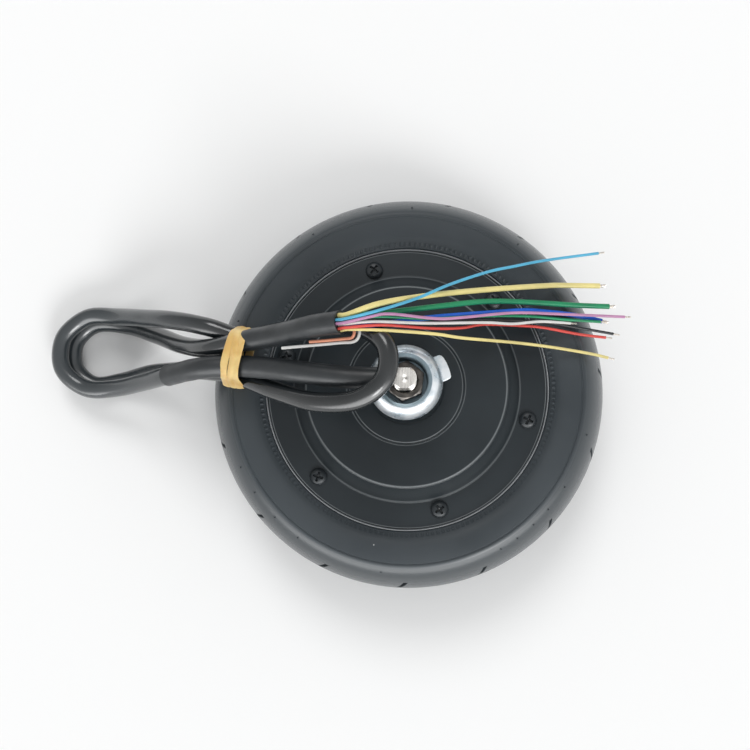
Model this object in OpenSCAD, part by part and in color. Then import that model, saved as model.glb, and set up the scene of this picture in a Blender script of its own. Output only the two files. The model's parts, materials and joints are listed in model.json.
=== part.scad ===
// Hub motor wheel: a solid tyre on a drum rim, an outrunner motor inside, and its cable folded over one side.
// Millimetres. +Z is the axle, the cable side is up, and z = 0 is the face that the wheel lies on.

/* [Tyre] */
// Outer diameter of the tyre
tyre_od = 216; // [200:1:250]
// Width of the tyre over its sidewalls
tyre_w = 50; // [44:1:62]
// Height of the tyre's rounded crown over the flat of its sidewalls
crown = 14; // [10:0.5:18]
// Number of sipes across each shoulder
sipes = 15; // [8:1:24]
// Width of a sipe
sipe_w = 2.4; // [1.5:0.1:3.5]
// Depth of a sipe
sipe_depth = 2.2; // [1:0.1:3]

/* [Rim] */
// Outer diameter of the rim over its flanges
rim_od = 152.8; // [148:0.2:158]
// Width of the rim over its flanges
rim_w = 39; // [36:0.5:42]
// Depth of the groove that the tyre sits in
rim_groove = 2.9; // [2:0.1:3.4]
// Wall of the lip that the cover sits in
rim_lip = 1.1; // [0.8:0.1:1.6]
// Thickness of a cover's outer flange
flange_t = 4; // [3:0.25:5]

/* [Covers] */
// Diameter at the foot of a cover's sloped band
dome_foot_d = 121; // [119:0.5:124]
// Diameter at the top of a cover's sloped band
dome_top_d = 107; // [104:0.5:109]
// Height of the front dome above the wheel's middle plane
front_h = 33; // [32:0.25:36]
// Height of the rear dome below the wheel's middle plane
rear_h = 30; // [29:0.25:33]
// Thickness of a dome's wall
dome_t = 4; // [3:0.25:4.5]
// Diameter of the circle that the cover screws lie on
screw_pcd = 134.4; // [132:0.2:137]
// Number of screws in each cover
cover_screws = 6; // [4:1:8]
// Thread diameter of the cover screws
screw_d = 5; // [4:0.5:6]
// Diameter of the shallow ring groove around the hub
ring_groove_d = 61; // [56:0.5:66]

/* [Motor] */
// Outer diameter of the laminated stator
stator_d = 106.4; // [104:0.2:107]
// Height of the stator and the magnets
stack_h = 30; // [26:0.5:30]
// Number of stator teeth
teeth = 27; // [18:3:27]
// Width of a tooth's neck
tooth_w = 3.2; // [2.6:0.1:3.6]
// Number of magnets
magnets = 30; // [20:2:32]
// Radial thickness of a magnet
magnet_t = 3; // [2.5:0.1:3.2]
// Gap between the stator and the magnets
air_gap = 0.8; // [0.6:0.05:1.2]
// Radial thickness of the steel ring behind the magnets
yoke_t = 5; // [4:0.25:5.5]

/* [Axle] */
// Diameter of the axle's threaded end
thread_d = 12; // [11:0.5:13]
// Distance across the axle's flats
flats = 10; // [9:0.25:10.5]
// Diameter of the axle in the bearings
journal_d = 15; // [14:0.5:16]
// Diameter of the axle in the stator hub
core_d = 20; // [18:0.5:22]
// Height of the shoulder that a fork rests on, above the middle plane
shoulder_h = 47.5; // [44:0.5:50]
// Height of the axle's end above the middle plane
axle_h = 74.5; // [74:0.5:80]
// Diameter of the cable's way through the axle
axle_bore = 6.6; // [5.8:0.1:7]

/* [Bearings] */
// Outer diameter of a bearing
bearing_od = 35; // [32:0.5:37]
// Width of a bearing
bearing_w = 11; // [9:0.5:12]
// Ball diameter
ball_d = 5.95; // [5:0.05:6.2]
// Number of balls in a bearing
balls = 8; // [6:1:9]
// Outer diameter of the shaft seal
seal_od = 26; // [24:0.5:28]
// Height of the shaft seal
seal_h = 5; // [4:0.5:6]

/* [Axle hardware] */
// Thickness of the tab washer
tab_t = 2; // [1.5:0.1:3]
// Outer diameter of the cup washer and of the tab washer under it
cup_d = 38.2; // [36:0.2:42]
// Reach of the tab from the axle's centre
tab_reach = 23.4; // [22:0.1:26]
// Width of the tab
tab_w = 13.4; // [10:0.1:16]
// Direction of the tab
tab_angle = 22; // [0:1:359]
// Height of the cup washer
cup_h = 12.5; // [11:0.25:12.5]
// Diameter of the cup washer's mouth
cup_mouth_d = 22.4; // [21.6:0.1:24]
// Distance across the axle nut's flats
nut_af = 18; // [17:0.5:18.5]
// Height of the axle nut
nut_h = 10; // [8:0.5:11]

/* [Hidden] */
$fn = 96;

// Play between parts that touch but don't press on each other
fit = 0.1;
// Clear gap between parts that turn past each other
run = 0.5;

mid_z = rear_h;                       // height of the wheel's middle plane over z = 0
half_w = tyre_w / 2;
rim_r = rim_od / 2;
rim_h = rim_w / 2;
seat_h = rim_h - 0.5 - flange_t;      // where a cover's flange rests in the rim
lip_r = rim_r - rim_lip;              // inside of the rim's lip
cover_r = lip_r - fit;
gasket_t = 0.5;
magnet_r = stator_d / 2 + air_gap;    // inner face of the magnets
yoke_r = magnet_r + magnet_t + fit;   // inner face of the steel ring
drum_r = yoke_r + yoke_t;             // inner face of the rim
stack = stack_h / 2;
front_seat = stack + 0.5;             // foot of the front bearing
rear_seat = -stack + 2.5;             // top of the rear bearing
journal_r = journal_d / 2;
bearing_r = bearing_od / 2;
boss_r = bearing_r + 4;
race_t = 2.6;                         // radial thickness of a race at its edge
pitch_r = (journal_r + bearing_r) / 2;
core_in = 33;                         // inside of the laminated core
slot_r = 39;                          // foot of the teeth
tip_t = 2.2;                          // height of a tooth's tip
coil_r = [slot_r + 0.6, stator_d / 2 - tip_t - 0.6];
insulator_t = 1;
coil_wall = 2.2;
exit_h = 68.2;                        // height of the cable's way out of the axle
entry_h = 11.5;                       // height of the harness's way into the axle
harness_d = 5.6;
hub_top = entry_h - axle_bore / 2 - 0.4;
washer_z = mid_z + shoulder_h;
cup_z = washer_z + tab_t;

// The motor cable's way: out of the axle, to the far loops, back over the axle, out again and back to its end
cable_points = [[-7, 0, 98.2], [-28, 1, 97.8], [-50, 4, 92], [-70, 7.5, 82.5], [-89, 9.5, 74.5],
    [-108, 9, 70.5], [-129, 7, 54.5], [-149, 5, 36], [-169, 3, 22], [-188, 4, 15.6], [-202, 15.5, 15],
    [-202, 33.5, 15], [-188, 45.5, 15.6], [-169, 45, 21], [-148, 41.5, 36.5], [-127, 37.5, 52.5],
    [-107, 32.5, 61.5], [-87, 26.5, 62.5], [-64, 28, 73], [-42, 28.5, 89], [-22, 25.5, 102.5],
    [-9, 15.5, 110], [-9, 0, 110.5], [-22, -10.5, 107.5], [-44, -11, 96], [-67, -3.5, 78], [-90, 6, 62.7],
    [-110, 9.5, 55], [-130, 11.5, 35.5], [-149, 12, 19], [-168, 9, 7], [-186, 7, 5.3], [-198, 17, 5.2],
    [-198, 32.5, 5.2], [-186, 43, 5.3], [-166, 41.5, 8], [-145, 34, 22], [-124, 25, 44], [-105, 20.5, 64],
    [-87, 22.2, 74.2], [-64, 24, 88], [-45, 25.5, 104], [-30, 26, 113.5]];
cable_d = 10;
sleeve_d = 11.6;
sleeve_last = 6;                      // the sleeve ends at this point of the way, counted from 0
shrink_first = 39;                    // the heat-shrink starts at this point

// Each wire: its diameter, then its way from the heat-shrink's mouth to its stripped end
yellow3 = [2.8, [[-30.69, 28.88, 115.11], [-26.4, 28.99, 117.68], [-11.3, 34.4, 116.5], [12.3, 40.5, 103.5],
    [40.5, 47.1, 82.2], [73.8, 52.7, 62.9], [84.9, 53.5, 59.3], [103.1, 53.4, 57.4]]];
green3 = [2.8, [[-29, 28.93, 112.28], [-24.71, 29.04, 114.85], [-9, 30.9, 111.1], [16.1, 35.9, 98.5],
    [41.5, 41.5, 80], [64.8, 43.5, 65.2], [90, 43, 58], [108.1, 42.5, 55.9]]];
blue3 = [2.6, [[-29.23, 24.02, 112.88], [-24.94, 24.13, 115.45], [-11.9, 25.2, 111.6], [13.2, 30.2, 99.4],
    [40.6, 35.4, 80.1], [61.8, 39, 65.9], [74, 39.1, 60.6], [90, 37.6, 57.4], [104.1, 34.6, 56.1]]];
sky1 = [1.5, [[-31.81, 26.55, 117.09], [-27.52, 26.66, 119.65], [-13.8, 30.2, 118.2], [5.7, 37.6, 110.4],
    [22.2, 46.6, 99.1], [41.6, 55.8, 84.1], [56.2, 60.9, 73.7], [74, 66, 64.5], [102.8, 71, 57.9]]];
pink1 = [1.5, [[-31.71, 24.76, 117], [-27.43, 24.87, 119.57], [-15.9, 27.8, 118], [-6.6, 29.6, 114.9],
    [14.9, 29, 103.7], [28.7, 31, 94], [56.1, 36.3, 75], [81.8, 37.5, 62.5], [115.8, 36.5, 58]]];
green1 = [1.5, [[-30.83, 26.28, 115.46], [-26.54, 26.39, 118.02], [-11.7, 28.4, 114.7], [12.3, 29, 103.3],
    [39.6, 33.3, 84], [63.8, 35.6, 68.3], [84, 35, 60.2], [103.1, 33.9, 58.2]]];
black1 = [1.5, [[-29.7, 26.41, 113.57], [-25.41, 26.52, 116.14], [-11.1, 26.8, 108.4], [11.9, 28.9, 96.7],
    [41, 32.4, 78.9], [71, 33.7, 61.4], [92, 30.9, 57.1], [110, 27.7, 56]]];
white1 = [1.5, [[-30.78, 24.38, 115.46], [-26.49, 24.49, 118.02], [-13.9, 25.9, 115.4], [10.5, 26.5, 105.2],
    [40.6, 29.9, 84.2], [55.5, 30.7, 74.2], [71, 33.3, 64.7], [87.3, 33.2, 58.7]]];
red1 = [1.5, [[-30.84, 22.58, 115.63], [-26.55, 22.69, 118.2], [-9.4, 24.5, 113.2], [13.2, 24.5, 101.7],
    [28.6, 26.5, 89.6], [40.2, 29.5, 80.8], [63, 31, 65], [73.9, 30.5, 60.4], [92, 27.5, 56.9],
    [106, 25.8, 56]]];
yellow1 = [1.6, [[-29.79, 21.95, 113.91], [-25.5, 22.06, 116.48], [-9.2, 22.1, 112.4], [14.6, 21.7, 102],
    [28.9, 21.1, 91.3], [57.3, 21.4, 70.3], [78, 20.1, 60.3], [97.9, 17, 57.1], [106.9, 14.9, 56.4]]];
white_back = [1.5, [[-27.68, 25.86, 110.22], [-24.94, 25.93, 111.87], [-22.4, 24.3, 112.5],
    [-21.2, 21.1, 113.1], [-22.2, 17.9, 112.9], [-24.8, 16.6, 111.6], [-30.6, 16.6, 109.3],
    [-41.3, 16.3, 104.9], [-52.1, 16.1, 100.3], [-60.9, 15.9, 96.6]]];
orange_back = [1.5, [[-27.94, 23.75, 110.74], [-26.05, 23.8, 111.87], [-24.4, 23.1, 112.8],
    [-23.7, 21.2, 113.3], [-24.3, 19.2, 112.8], [-25.9, 18.4, 111.9], [-30.8, 18.3, 109.8],
    [-38.6, 18.1, 106.5], [-46.4, 18, 103.2]]];
end_l = 3.5;                          // length of a stripped end

function unit(v) = v / norm(v);
// Catmull-Rom: a smooth way through points p, with n steps between two of them
function spline_at(a, b, c, d, t) =
    0.5 * (2 * b + (c - a) * t + (2 * a - 5 * b + 4 * c - d) * t * t + (3 * b - a - 3 * c + d) * t * t * t);
function spline(p, n) = let (last = len(p) - 1) concat(
    [for (i = [0 : last - 1], k = [0 : n - 1])
        spline_at(i > 0 ? p[i - 1] : 2 * p[0] - p[1], p[i], p[i + 1],
            i < last - 1 ? p[i + 2] : 2 * p[last] - p[last - 1], k / n)],
    [p[last]]);
function tangent(w, i) = unit(w[min(i + 1, len(w) - 1)] - w[max(i - 1, 0)]);
// A ring of points around way w at its point i
function ring(w, i, r, sides) = let (
        t = tangent(w, i), side = unit(cross(t, [0, 0, 1])), up = cross(side, t))
    [for (k = [0 : sides - 1]) w[i] + r * (side * cos(360 * k / sides) + up * sin(360 * k / sides))];
function skin(rings, sides, flip) = [for (i = [0 : rings - 2], k = [0 : sides - 1]) let (
        a = i * sides + k, b = i * sides + (k + 1) % sides)
    flip ? [a + sides, b + sides, b, a] : [a, b, b + sides, a + sides]];

// A solid round cord along way w
module cord(w, d, sides) {
    n = len(w);
    polyhedron(
        [for (i = [0 : n - 1]) each ring(w, i, d / 2, sides)],
        concat(skin(n, sides, false),
            [[for (k = [sides - 1 : -1 : 0]) k], [for (k = [0 : sides - 1]) (n - 1) * sides + k]]),
        convexity = 10);
}

// A hollow sleeve along way w
module sleeve_along(w, d, bore, sides) {
    n = len(w);
    all = n * sides;
    polyhedron(
        concat([for (i = [0 : n - 1]) each ring(w, i, d / 2, sides)],
            [for (i = [0 : n - 1]) each ring(w, i, bore / 2, sides)]),
        concat(skin(n, sides, false),
            [for (f = skin(n, sides, true)) [for (v = f) v + all]],
            [for (k = [0 : sides - 1]) let (m = (k + 1) % sides) [k, all + k, all + m, m]],
            [for (k = [0 : sides - 1]) let (m = (k + 1) % sides, e = all - sides)
                [e + m, all + e + m, all + e + k, e + k]]),
        convexity = 10);
}

module at_middle() { translate([0, 0, mid_z]) children(); }
module around(n, first = 0) { for (i = [0 : n - 1]) rotate(first + 360 * i / n) children(); }
module tube(r_out, r_in, h) {
    difference() {
        cylinder(r = r_out, h = h);
        translate([0, 0, -1]) cylinder(r = r_in, h = h + 2);
    }
}

// ---- the turning wheel ----

// The tyre's radius at height z over its middle, a crown a little more pointed than an ellipse
function crown_r(z) = let (s = pow(z / half_w, 0.8))
    tyre_od / 2 - crown + crown * pow(max(0, 1 - s * s), 0.625);
// Heights of points on the crown, from the sidewall to the middle, closer together near the sidewall
crown_z = [for (a = [84 : -7 : 0]) half_w * sin(a)];

// Half of the tyre's outline, from its bore up round the shoulder to the middle of the tread
function tyre_half() = concat(
    [[rim_r - rim_groove, 0], [rim_r - rim_groove, rim_h - 7.5 - fit], [rim_r + fit, rim_h - 7.5 - fit],
        [rim_r + fit, half_w - 4.5], [rim_r + 1.6, half_w - 3.5], [rim_r + 5, half_w - 1.2],
        [rim_r + 9.5, half_w - 0.2], [tyre_od / 2 - crown, half_w]],
    [for (z = crown_z) [crown_r(z), z]]);

// A sipe's cutter: a short arc between two heights, one sipe_depth under the crown
module sipe() {
    turn = sipe_w / tyre_od * 360 / PI;
    rotate(-turn / 2) rotate_extrude(angle = turn) polygon(concat(
        [for (z = [4 : 3.5 : 14.5]) [crown_r(z) - sipe_depth, z]],
        [[tyre_od / 2 + 1, 14.5], [tyre_od / 2 + 1, 4]]));
}

module tyre() {
    half = tyre_half();
    color([0.13, 0.15, 0.16]) at_middle() difference() {
        rotate_extrude()
            polygon(concat(half, [for (i = [len(half) - 2 : -1 : 1]) [half[i][0], -half[i][1]]]));
        for (side = [0, 1]) mirror([0, 0, side]) around(sipes, side == 0 ? 4.4 : -4.4) sipe();
    }
}

module rim() {
    color([0.55, 0.57, 0.6]) at_middle() difference() {
        rotate_extrude() polygon([
            [drum_r, -seat_h], [lip_r, -seat_h], [lip_r, -rim_h], [rim_r, -rim_h],
            [rim_r, 7.5 - rim_h], [rim_r - rim_groove, 7.5 - rim_h],
            [rim_r - rim_groove, rim_h - 7.5], [rim_r, rim_h - 7.5],
            [rim_r, rim_h], [lip_r, rim_h], [lip_r, seat_h], [drum_r, seat_h]]);
        around(cover_screws, 180 / cover_screws + 15) translate([screw_pcd / 2, 0, -seat_h - 1])
            cylinder(d = screw_d + fit, h = 2 * seat_h + 2);
    }
}

module rotor_yoke() {
    color([0.35, 0.36, 0.38]) at_middle() translate([0, 0, -stack]) tube(drum_r, yoke_r, stack_h);
}

module magnets() {
    pitch = 360 / magnets;
    color([0.7, 0.71, 0.74]) at_middle() translate([0, 0, -stack]) around(magnets)
        rotate(-pitch * 0.43) rotate_extrude(angle = pitch * 0.86)
            translate([magnet_r, 0]) square([magnet_t + fit / 2, stack_h]);
}

// A cover, turned. h is the dome's height and foot the bearing's foot; an open cover lets the axle pass
module cover_turned(h, foot, open) {
    inner = h - dome_t;
    slope = (dome_foot_d - dome_top_d) / 2;
    bearing_top = foot + bearing_w;
    middle = open
        ? [[seal_od / 2, h], [seal_od / 2, bearing_top], [bearing_r, bearing_top], [bearing_r, foot]]
        : [[0, h], [0, bearing_top + 3], [bearing_r - 3.5, bearing_top + 3], [bearing_r - 3.5, bearing_top],
            [bearing_r, bearing_top], [bearing_r, foot]];
    rotate_extrude() polygon(concat(
        [[cover_r, seat_h + gasket_t], [cover_r, rim_h - 0.5], [dome_foot_d / 2 + 0.8, rim_h - 0.5],
            [dome_foot_d / 2, rim_h + 1], [dome_top_d / 2 + 0.6, h - 0.8], [dome_top_d / 2 - 0.6, h],
            [ring_groove_d / 2 + 0.6, h], [ring_groove_d / 2 + 0.4, h - 0.5],
            [ring_groove_d / 2 - 0.4, h - 0.5], [ring_groove_d / 2 - 0.6, h]],
        middle,
        [[boss_r, foot], [boss_r, inner], [dome_top_d / 2 - 1.5, inner],
            [dome_top_d / 2 + slope - 2.2, seat_h + gasket_t]]));
}

module cover_holes(h) {
    around(cover_screws, 180 / cover_screws + 15) translate([screw_pcd / 2, 0, 0])
        cylinder(d = screw_d + 4 * fit, h = h);
}

module front_cover() {
    color([0.19, 0.22, 0.24]) at_middle() difference() {
        cover_turned(front_h, front_seat, true);
        cover_holes(front_h);
    }
}

module rear_cover() {
    color([0.19, 0.22, 0.24]) at_middle() mirror([0, 0, 1]) difference() {
        cover_turned(rear_h, -rear_seat, false);
        cover_holes(rear_h);
    }
}

module gasket() {
    difference() {
        translate([0, 0, seat_h]) tube(cover_r, drum_r + 1, gasket_t);
        cover_holes(front_h);
    }
}
module front_gasket() { color([0.08, 0.08, 0.08]) at_middle() gasket(); }
module rear_gasket() { color([0.08, 0.08, 0.08]) at_middle() mirror([0, 0, 1]) gasket(); }

// A pan-head screw with a cross recess, its head resting on height z
module screw(z) {
    head_r = screw_d * 0.95;
    head_h = screw_d * 0.62;
    translate([screw_pcd / 2, 0, z]) difference() {
        union() {
            translate([0, 0, -flange_t - 8]) cylinder(d = screw_d, h = flange_t + 8);
            cylinder(r = head_r, h = head_h * 0.55);
            translate([0, 0, head_h * 0.55]) cylinder(r1 = head_r, r2 = head_r * 0.7, h = head_h * 0.45);
        }
        for (a = [20, 110]) translate([0, 0, head_h]) rotate(a)
            cube([screw_d * 0.95, screw_d * 0.2, head_h * 1.1], center = true);
    }
}
module cover_screw_set() { around(cover_screws, 180 / cover_screws + 15) screw(rim_h - 0.5); }
module front_screws() { color([0.1, 0.1, 0.11]) at_middle() cover_screw_set(); }
module rear_screws() { color([0.1, 0.1, 0.11]) at_middle() mirror([0, 0, 1]) cover_screw_set(); }

module shaft_seal() {
    z = front_h - seal_h;
    color([0.12, 0.1, 0.09]) at_middle() rotate_extrude() polygon([
        [seal_od / 2 - 0.02, z], [seal_od / 2 - 0.02, front_h - 0.4], [seal_od / 2 - 1.6, front_h - 0.4],
        [seal_od / 2 - 2.2, front_h - 1], [journal_r + 1.6, front_h - 1], [journal_r + 0.3, front_h - 0.2],
        [journal_r + 0.3, front_h - 1.2], [journal_r + 2, front_h - 2.2], [journal_r + 2, z]]);
}

// ---- bearings ----

module race(outer) {
    groove_r = ball_d / 2 + 0.1;
    difference() {
        if (outer) tube(bearing_r - 0.02, bearing_r - race_t, bearing_w);
        else tube(journal_r + race_t, journal_r + 0.02, bearing_w);
        translate([0, 0, bearing_w / 2]) rotate_extrude()
            translate([pitch_r, 0]) circle(r = groove_r, $fn = 40);
    }
}
module ball_set() { around(balls) translate([pitch_r, 0, bearing_w / 2]) sphere(d = ball_d, $fn = 40); }
module cage() {
    cage_h = ball_d + 1.8;
    difference() {
        translate([0, 0, (bearing_w - cage_h) / 2]) tube(pitch_r + 1, pitch_r - 1, cage_h);
        around(balls) translate([pitch_r, 0, bearing_w / 2])
            cube([4, ball_d + 0.2, ball_d + 0.2], center = true);
    }
}
module at_front_bearing() { at_middle() translate([0, 0, front_seat]) children(); }
module at_rear_bearing() { at_middle() translate([0, 0, rear_seat - bearing_w]) children(); }

module front_outer_race() { color([0.75, 0.76, 0.78]) at_front_bearing() race(true); }
module rear_outer_race() { color([0.75, 0.76, 0.78]) at_rear_bearing() race(true); }
module front_inner_race() { color([0.75, 0.76, 0.78]) at_front_bearing() race(false); }
module rear_inner_race() { color([0.75, 0.76, 0.78]) at_rear_bearing() race(false); }
module front_balls() { color([0.85, 0.86, 0.88]) at_front_bearing() ball_set(); }
module rear_balls() { color([0.85, 0.86, 0.88]) at_rear_bearing() ball_set(); }
module front_cage() { color([0.6, 0.5, 0.3]) at_front_bearing() cage(); }
module rear_cage() { color([0.6, 0.5, 0.3]) at_rear_bearing() cage(); }

// Open rings that sit on the axle beside the bearings and keep the axle in place
module bearing_snap_rings() {
    color([0.4, 0.41, 0.43]) at_middle()
        for (z = [front_seat + bearing_w + 0.05, rear_seat - bearing_w - 1.25])
            translate([0, 0, z]) rotate(20) rotate_extrude(angle = 320)
                translate([journal_r - 0.5, 0]) square([2.1, 1.2]);
}

// ---- the still axle and stator ----

module axle_blank() {
    rotate_extrude() polygon([
        [0, rear_seat - bearing_w - 2.5], [journal_r - 0.5, rear_seat - bearing_w - 2.5],
        [journal_r, rear_seat - bearing_w - 2], [journal_r, rear_seat], [core_d / 2, rear_seat],
        [core_d / 2, front_seat], [journal_r, front_seat], [journal_r, shoulder_h],
        [thread_d / 2, shoulder_h], [thread_d / 2, axle_h - 0.8], [thread_d / 2 - 0.8, axle_h], [0, axle_h]]);
}

module axle() {
    color([0.8, 0.81, 0.82]) at_middle() difference() {
        axle_blank();
        for (side = [-1, 1]) translate([-thread_d, side > 0 ? flats / 2 : -flats / 2 - thread_d, shoulder_h])
            cube([2 * thread_d, thread_d, axle_h]);
        translate([0, 0, entry_h - axle_bore / 2]) cylinder(d = axle_bore, h = exit_h - entry_h + axle_bore);
        translate([0, 0, entry_h]) rotate([0, 90, 0]) cylinder(d = axle_bore, h = core_d);
        translate([0, 0, exit_h]) rotate([0, -90, 0]) cylinder(d = axle_bore, h = core_d);
        translate([0, core_d / 2, 0]) cube([key_w, key_w, key_l + 0.2], center = true);
        for (z = [front_seat + bearing_w, rear_seat - bearing_w - 1.3]) translate([0, 0, z])
            tube(journal_r + 1, journal_r - 0.55, 1.3);
    }
}
key_w = 5;
key_l = 12;

module axle_key() {
    color([0.5, 0.5, 0.52]) at_middle() translate([0, core_d / 2, 0])
        cube([key_w - 0.04, key_w - 0.04, key_l], center = true);
}

module stator_hub() {
    hub_foot = -stack + 5;
    color([0.72, 0.73, 0.75]) at_middle() difference() {
        union() {
            translate([0, 0, hub_foot]) cylinder(r = core_d / 2 + 5, h = hub_top - hub_foot);
            translate([0, 0, -3]) cylinder(r = core_in - 0.02, h = 6);
            translate([0, 0, -stack + 1]) tube(core_in - 0.02, core_in - 3.5, stack_h - 2 - 7.5);
        }
        translate([0, 0, -stack]) cylinder(r = core_d / 2 + 0.05, h = stack_h);
        translate([0, core_d / 2, 0]) cube([key_w, key_w + 0.2, stack_h], center = true);
        around(6, 30) translate([(core_d / 2 + core_in) / 2 + 1, 0, -4]) cylinder(d = 8, h = 8);
    }
}

// The outline of the laminations: a ring with teeth that widen to tips
module lamination(tip) {
    r_tip = stator_d / 2;
    tip_half = 180 / teeth - 1.3;
    difference() {
        circle(r = tip ? r_tip : r_tip - 0.3);
        circle(r = core_in);
        for (i = [0 : teeth - 1]) rotate(360 * (i + 0.5) / teeth) {
            slot_half = 180 / teeth;
            mouth_half = r_tip * sin(slot_half - tip_half);
            polygon(concat(
                [[r_tip + 1, mouth_half], [r_tip - tip_t, mouth_half]],
                [[r_tip - tip_t, r_tip * sin(slot_half) - tooth_w / 2 - 0.4],
                    [slot_r, slot_r * sin(slot_half) - tooth_w / 2],
                    [slot_r, -slot_r * sin(slot_half) + tooth_w / 2],
                    [r_tip - tip_t, -r_tip * sin(slot_half) + tooth_w / 2 + 0.4]],
                [[r_tip - tip_t, -mouth_half], [r_tip + 1, -mouth_half]]));
        }
    }
}

module stator_core() {
    color([0.45, 0.46, 0.48]) at_middle() translate([0, 0, -stack]) linear_extrude(stack_h) lamination(true);
}
module insulator() { linear_extrude(insulator_t) lamination(false); }
module insulator_at(z) { color([0.85, 0.85, 0.8]) translate([0, 0, mid_z + z]) insulator(); }
module front_insulator() { insulator_at(stack); }
module rear_insulator() { insulator_at(-stack - insulator_t); }

// One coil around each tooth
module windings() {
    inside_h = stack_h + 2 * insulator_t + 2 * fit;
    inside_w = tooth_w + 0.8 + 2 * fit;
    deep = coil_r[1] - coil_r[0];
    color([0.72, 0.4, 0.2]) at_middle() around(teeth) translate([coil_r[0] + deep / 2, 0, 0]) difference() {
        intersection() {
            cube([deep, inside_w + 2 * coil_wall, inside_h + 2 * coil_wall], center = true);
            rotate([0, 90, 0]) cylinder(d = inside_h + 2 * coil_wall, h = deep, center = true);
            translate([-coil_r[0] - deep / 2, 0, 0]) linear_extrude(3 * stack_h, center = true)
                polygon([[0, -0.3], [2 * stator_d, -0.3 - 2 * stator_d * tan(180 / teeth - 0.2)],
                    [2 * stator_d, 0.3 + 2 * stator_d * tan(180 / teeth - 0.2)], [0, 0.3]]);
        }
        cube([deep + 2, inside_w, inside_h], center = true);
    }
}

module hall_board() {
    color([0.1, 0.35, 0.2]) at_middle() translate([0, 0, stack + insulator_t]) rotate(-30)
        rotate_extrude(angle = 60) translate([core_in + 0.5, 0]) square([slot_r - core_in - 0.5, 1.6]);
}
module hall_sensors() {
    color([0.1, 0.1, 0.1]) at_middle() for (i = [-2, 0, 2]) rotate(360 * (i + 0.5) / teeth)
        translate([stator_d / 2 - tip_t + 0.2, -0.9, stack - 4]) cube([tip_t - 0.4, 1.8, 4]);
}

// The wires from the board into the axle, up its bore and out at the side
module inner_harness() {
    r = harness_d / 2;
    turn_x = (core_in + boss_r) / 2 + 1.5;
    top = stack + insulator_t + 1.6 + r + 0.05;
    color([0.1, 0.1, 0.1]) at_middle() {
        translate([0, 0, entry_h]) cylinder(r = r, h = exit_h - entry_h);
        for (z = [entry_h, exit_h]) translate([0, 0, z]) sphere(r = r);
        translate([0, 0, entry_h]) rotate([0, 90, 0]) cylinder(r = r, h = turn_x);
        translate([turn_x, 0, entry_h]) sphere(r = r);
        translate([turn_x, 0, entry_h]) cylinder(r = r, h = top - entry_h);
        translate([turn_x, 0, top]) sphere(r = r);
        translate([turn_x, 0, top]) rotate([0, 90, 0]) cylinder(r = r, h = core_in + 4 - turn_x);
        translate([0, 0, exit_h]) rotate([0, -90, 0]) cylinder(r = r, h = -cable_points[0][0] - fit);
    }
}

// ---- what is on the axle's end ----

module tab_washer() {
    color([0.84, 0.87, 0.9]) translate([0, 0, washer_z]) difference() {
        union() {
            cylinder(d = cup_d - 0.4, h = tab_t);
            intersection() {
                rotate(tab_angle) translate([0, -tab_w / 2, 0]) cube([2 * tab_reach, tab_w, tab_t]);
                cylinder(r = tab_reach, h = tab_t);
            }
        }
        intersection() {
            translate([0, 0, -1]) cylinder(d = thread_d + 2 * fit, h = tab_t + 2);
            cube([2 * thread_d, flats + 2 * fit, 4 * tab_t], center = true);
        }
    }
}

module cup_washer() {
    base_r = cup_d / 2;
    step_r = cup_mouth_d / 2 + 2.5;
    wall = 2;
    dome = [for (a = [0 : 15 : 90]) [step_r + (base_r - step_r) * cos(a), 1.2 + (cup_h - 1.2) * sin(a)]];
    color([0.86, 0.89, 0.92]) translate([0, 0, cup_z]) rotate_extrude() polygon(concat(
        [[base_r - 0.6, 0], [base_r, 0.6]], dome,
        [[cup_mouth_d / 2 + 0.6, cup_h - 0.6], [cup_mouth_d / 2, cup_h - 1.4], [cup_mouth_d / 2, wall],
        [thread_d / 2 + fit, wall], [thread_d / 2 + fit, 0]]));
}

module axle_nut() {
    corner_r = nut_af / 2 / cos(30);
    color([0.42, 0.38, 0.33]) translate([0, 0, cup_z + 2]) difference() {
        intersection() {
            rotate(21.9) cylinder(r = corner_r, h = nut_h, $fn = 6);
            rotate_extrude() polygon([
                [0, 0], [corner_r, 0], [corner_r, nut_h - 1.2], [nut_af / 2 - 0.3, nut_h], [0, nut_h]]);
        }
        translate([0, 0, -1]) cylinder(d = thread_d + 0.1, h = nut_h + 2);
    }
}

// ---- cable and wires ----

cable_way = spline(cable_points, 2);
cord_sides = 12;
function part_of(w, a, b) = [for (i = [a : b]) w[i]];

module motor_cable() { color([0.07, 0.08, 0.09]) cord(cable_way, cable_d, cord_sides); }
module cable_sleeve() {
    color([0.1, 0.11, 0.12])
        sleeve_along(part_of(cable_way, 0, 2 * sleeve_last), sleeve_d, cable_d + 0.3, cord_sides);
}
module heat_shrink() {
    color([0.12, 0.13, 0.14])
        sleeve_along(part_of(cable_way, 2 * shrink_first, len(cable_way) - 1),
            sleeve_d, cable_d + 0.3, cord_sides);
}

// The band around the four strands, seen along the bundle: the strands' places across and up
strands = [[9.6, 0.6, cable_d], [-10.4, 0, cable_d], [-6.6, 11.8, sleeve_d], [5.6, 11.8, sleeve_d]];
band_t = 1.2;
band_w = 12;
module strand_hull(grow) {
    hull() for (s = strands) translate([s[0], s[1]]) circle(d = s[2] + grow, $fn = 32);
}
module rubber_band() {
    color([0.86, 0.7, 0.4]) translate([-88.5, 16, 62.5]) rotate([0, 0, -8]) rotate([90, 0, -90])
        mirror([1, 0, 0]) linear_extrude(band_w, center = true) difference() {
            strand_hull(2 * band_t);
            strand_hull(0.1);
        }
}

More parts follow.
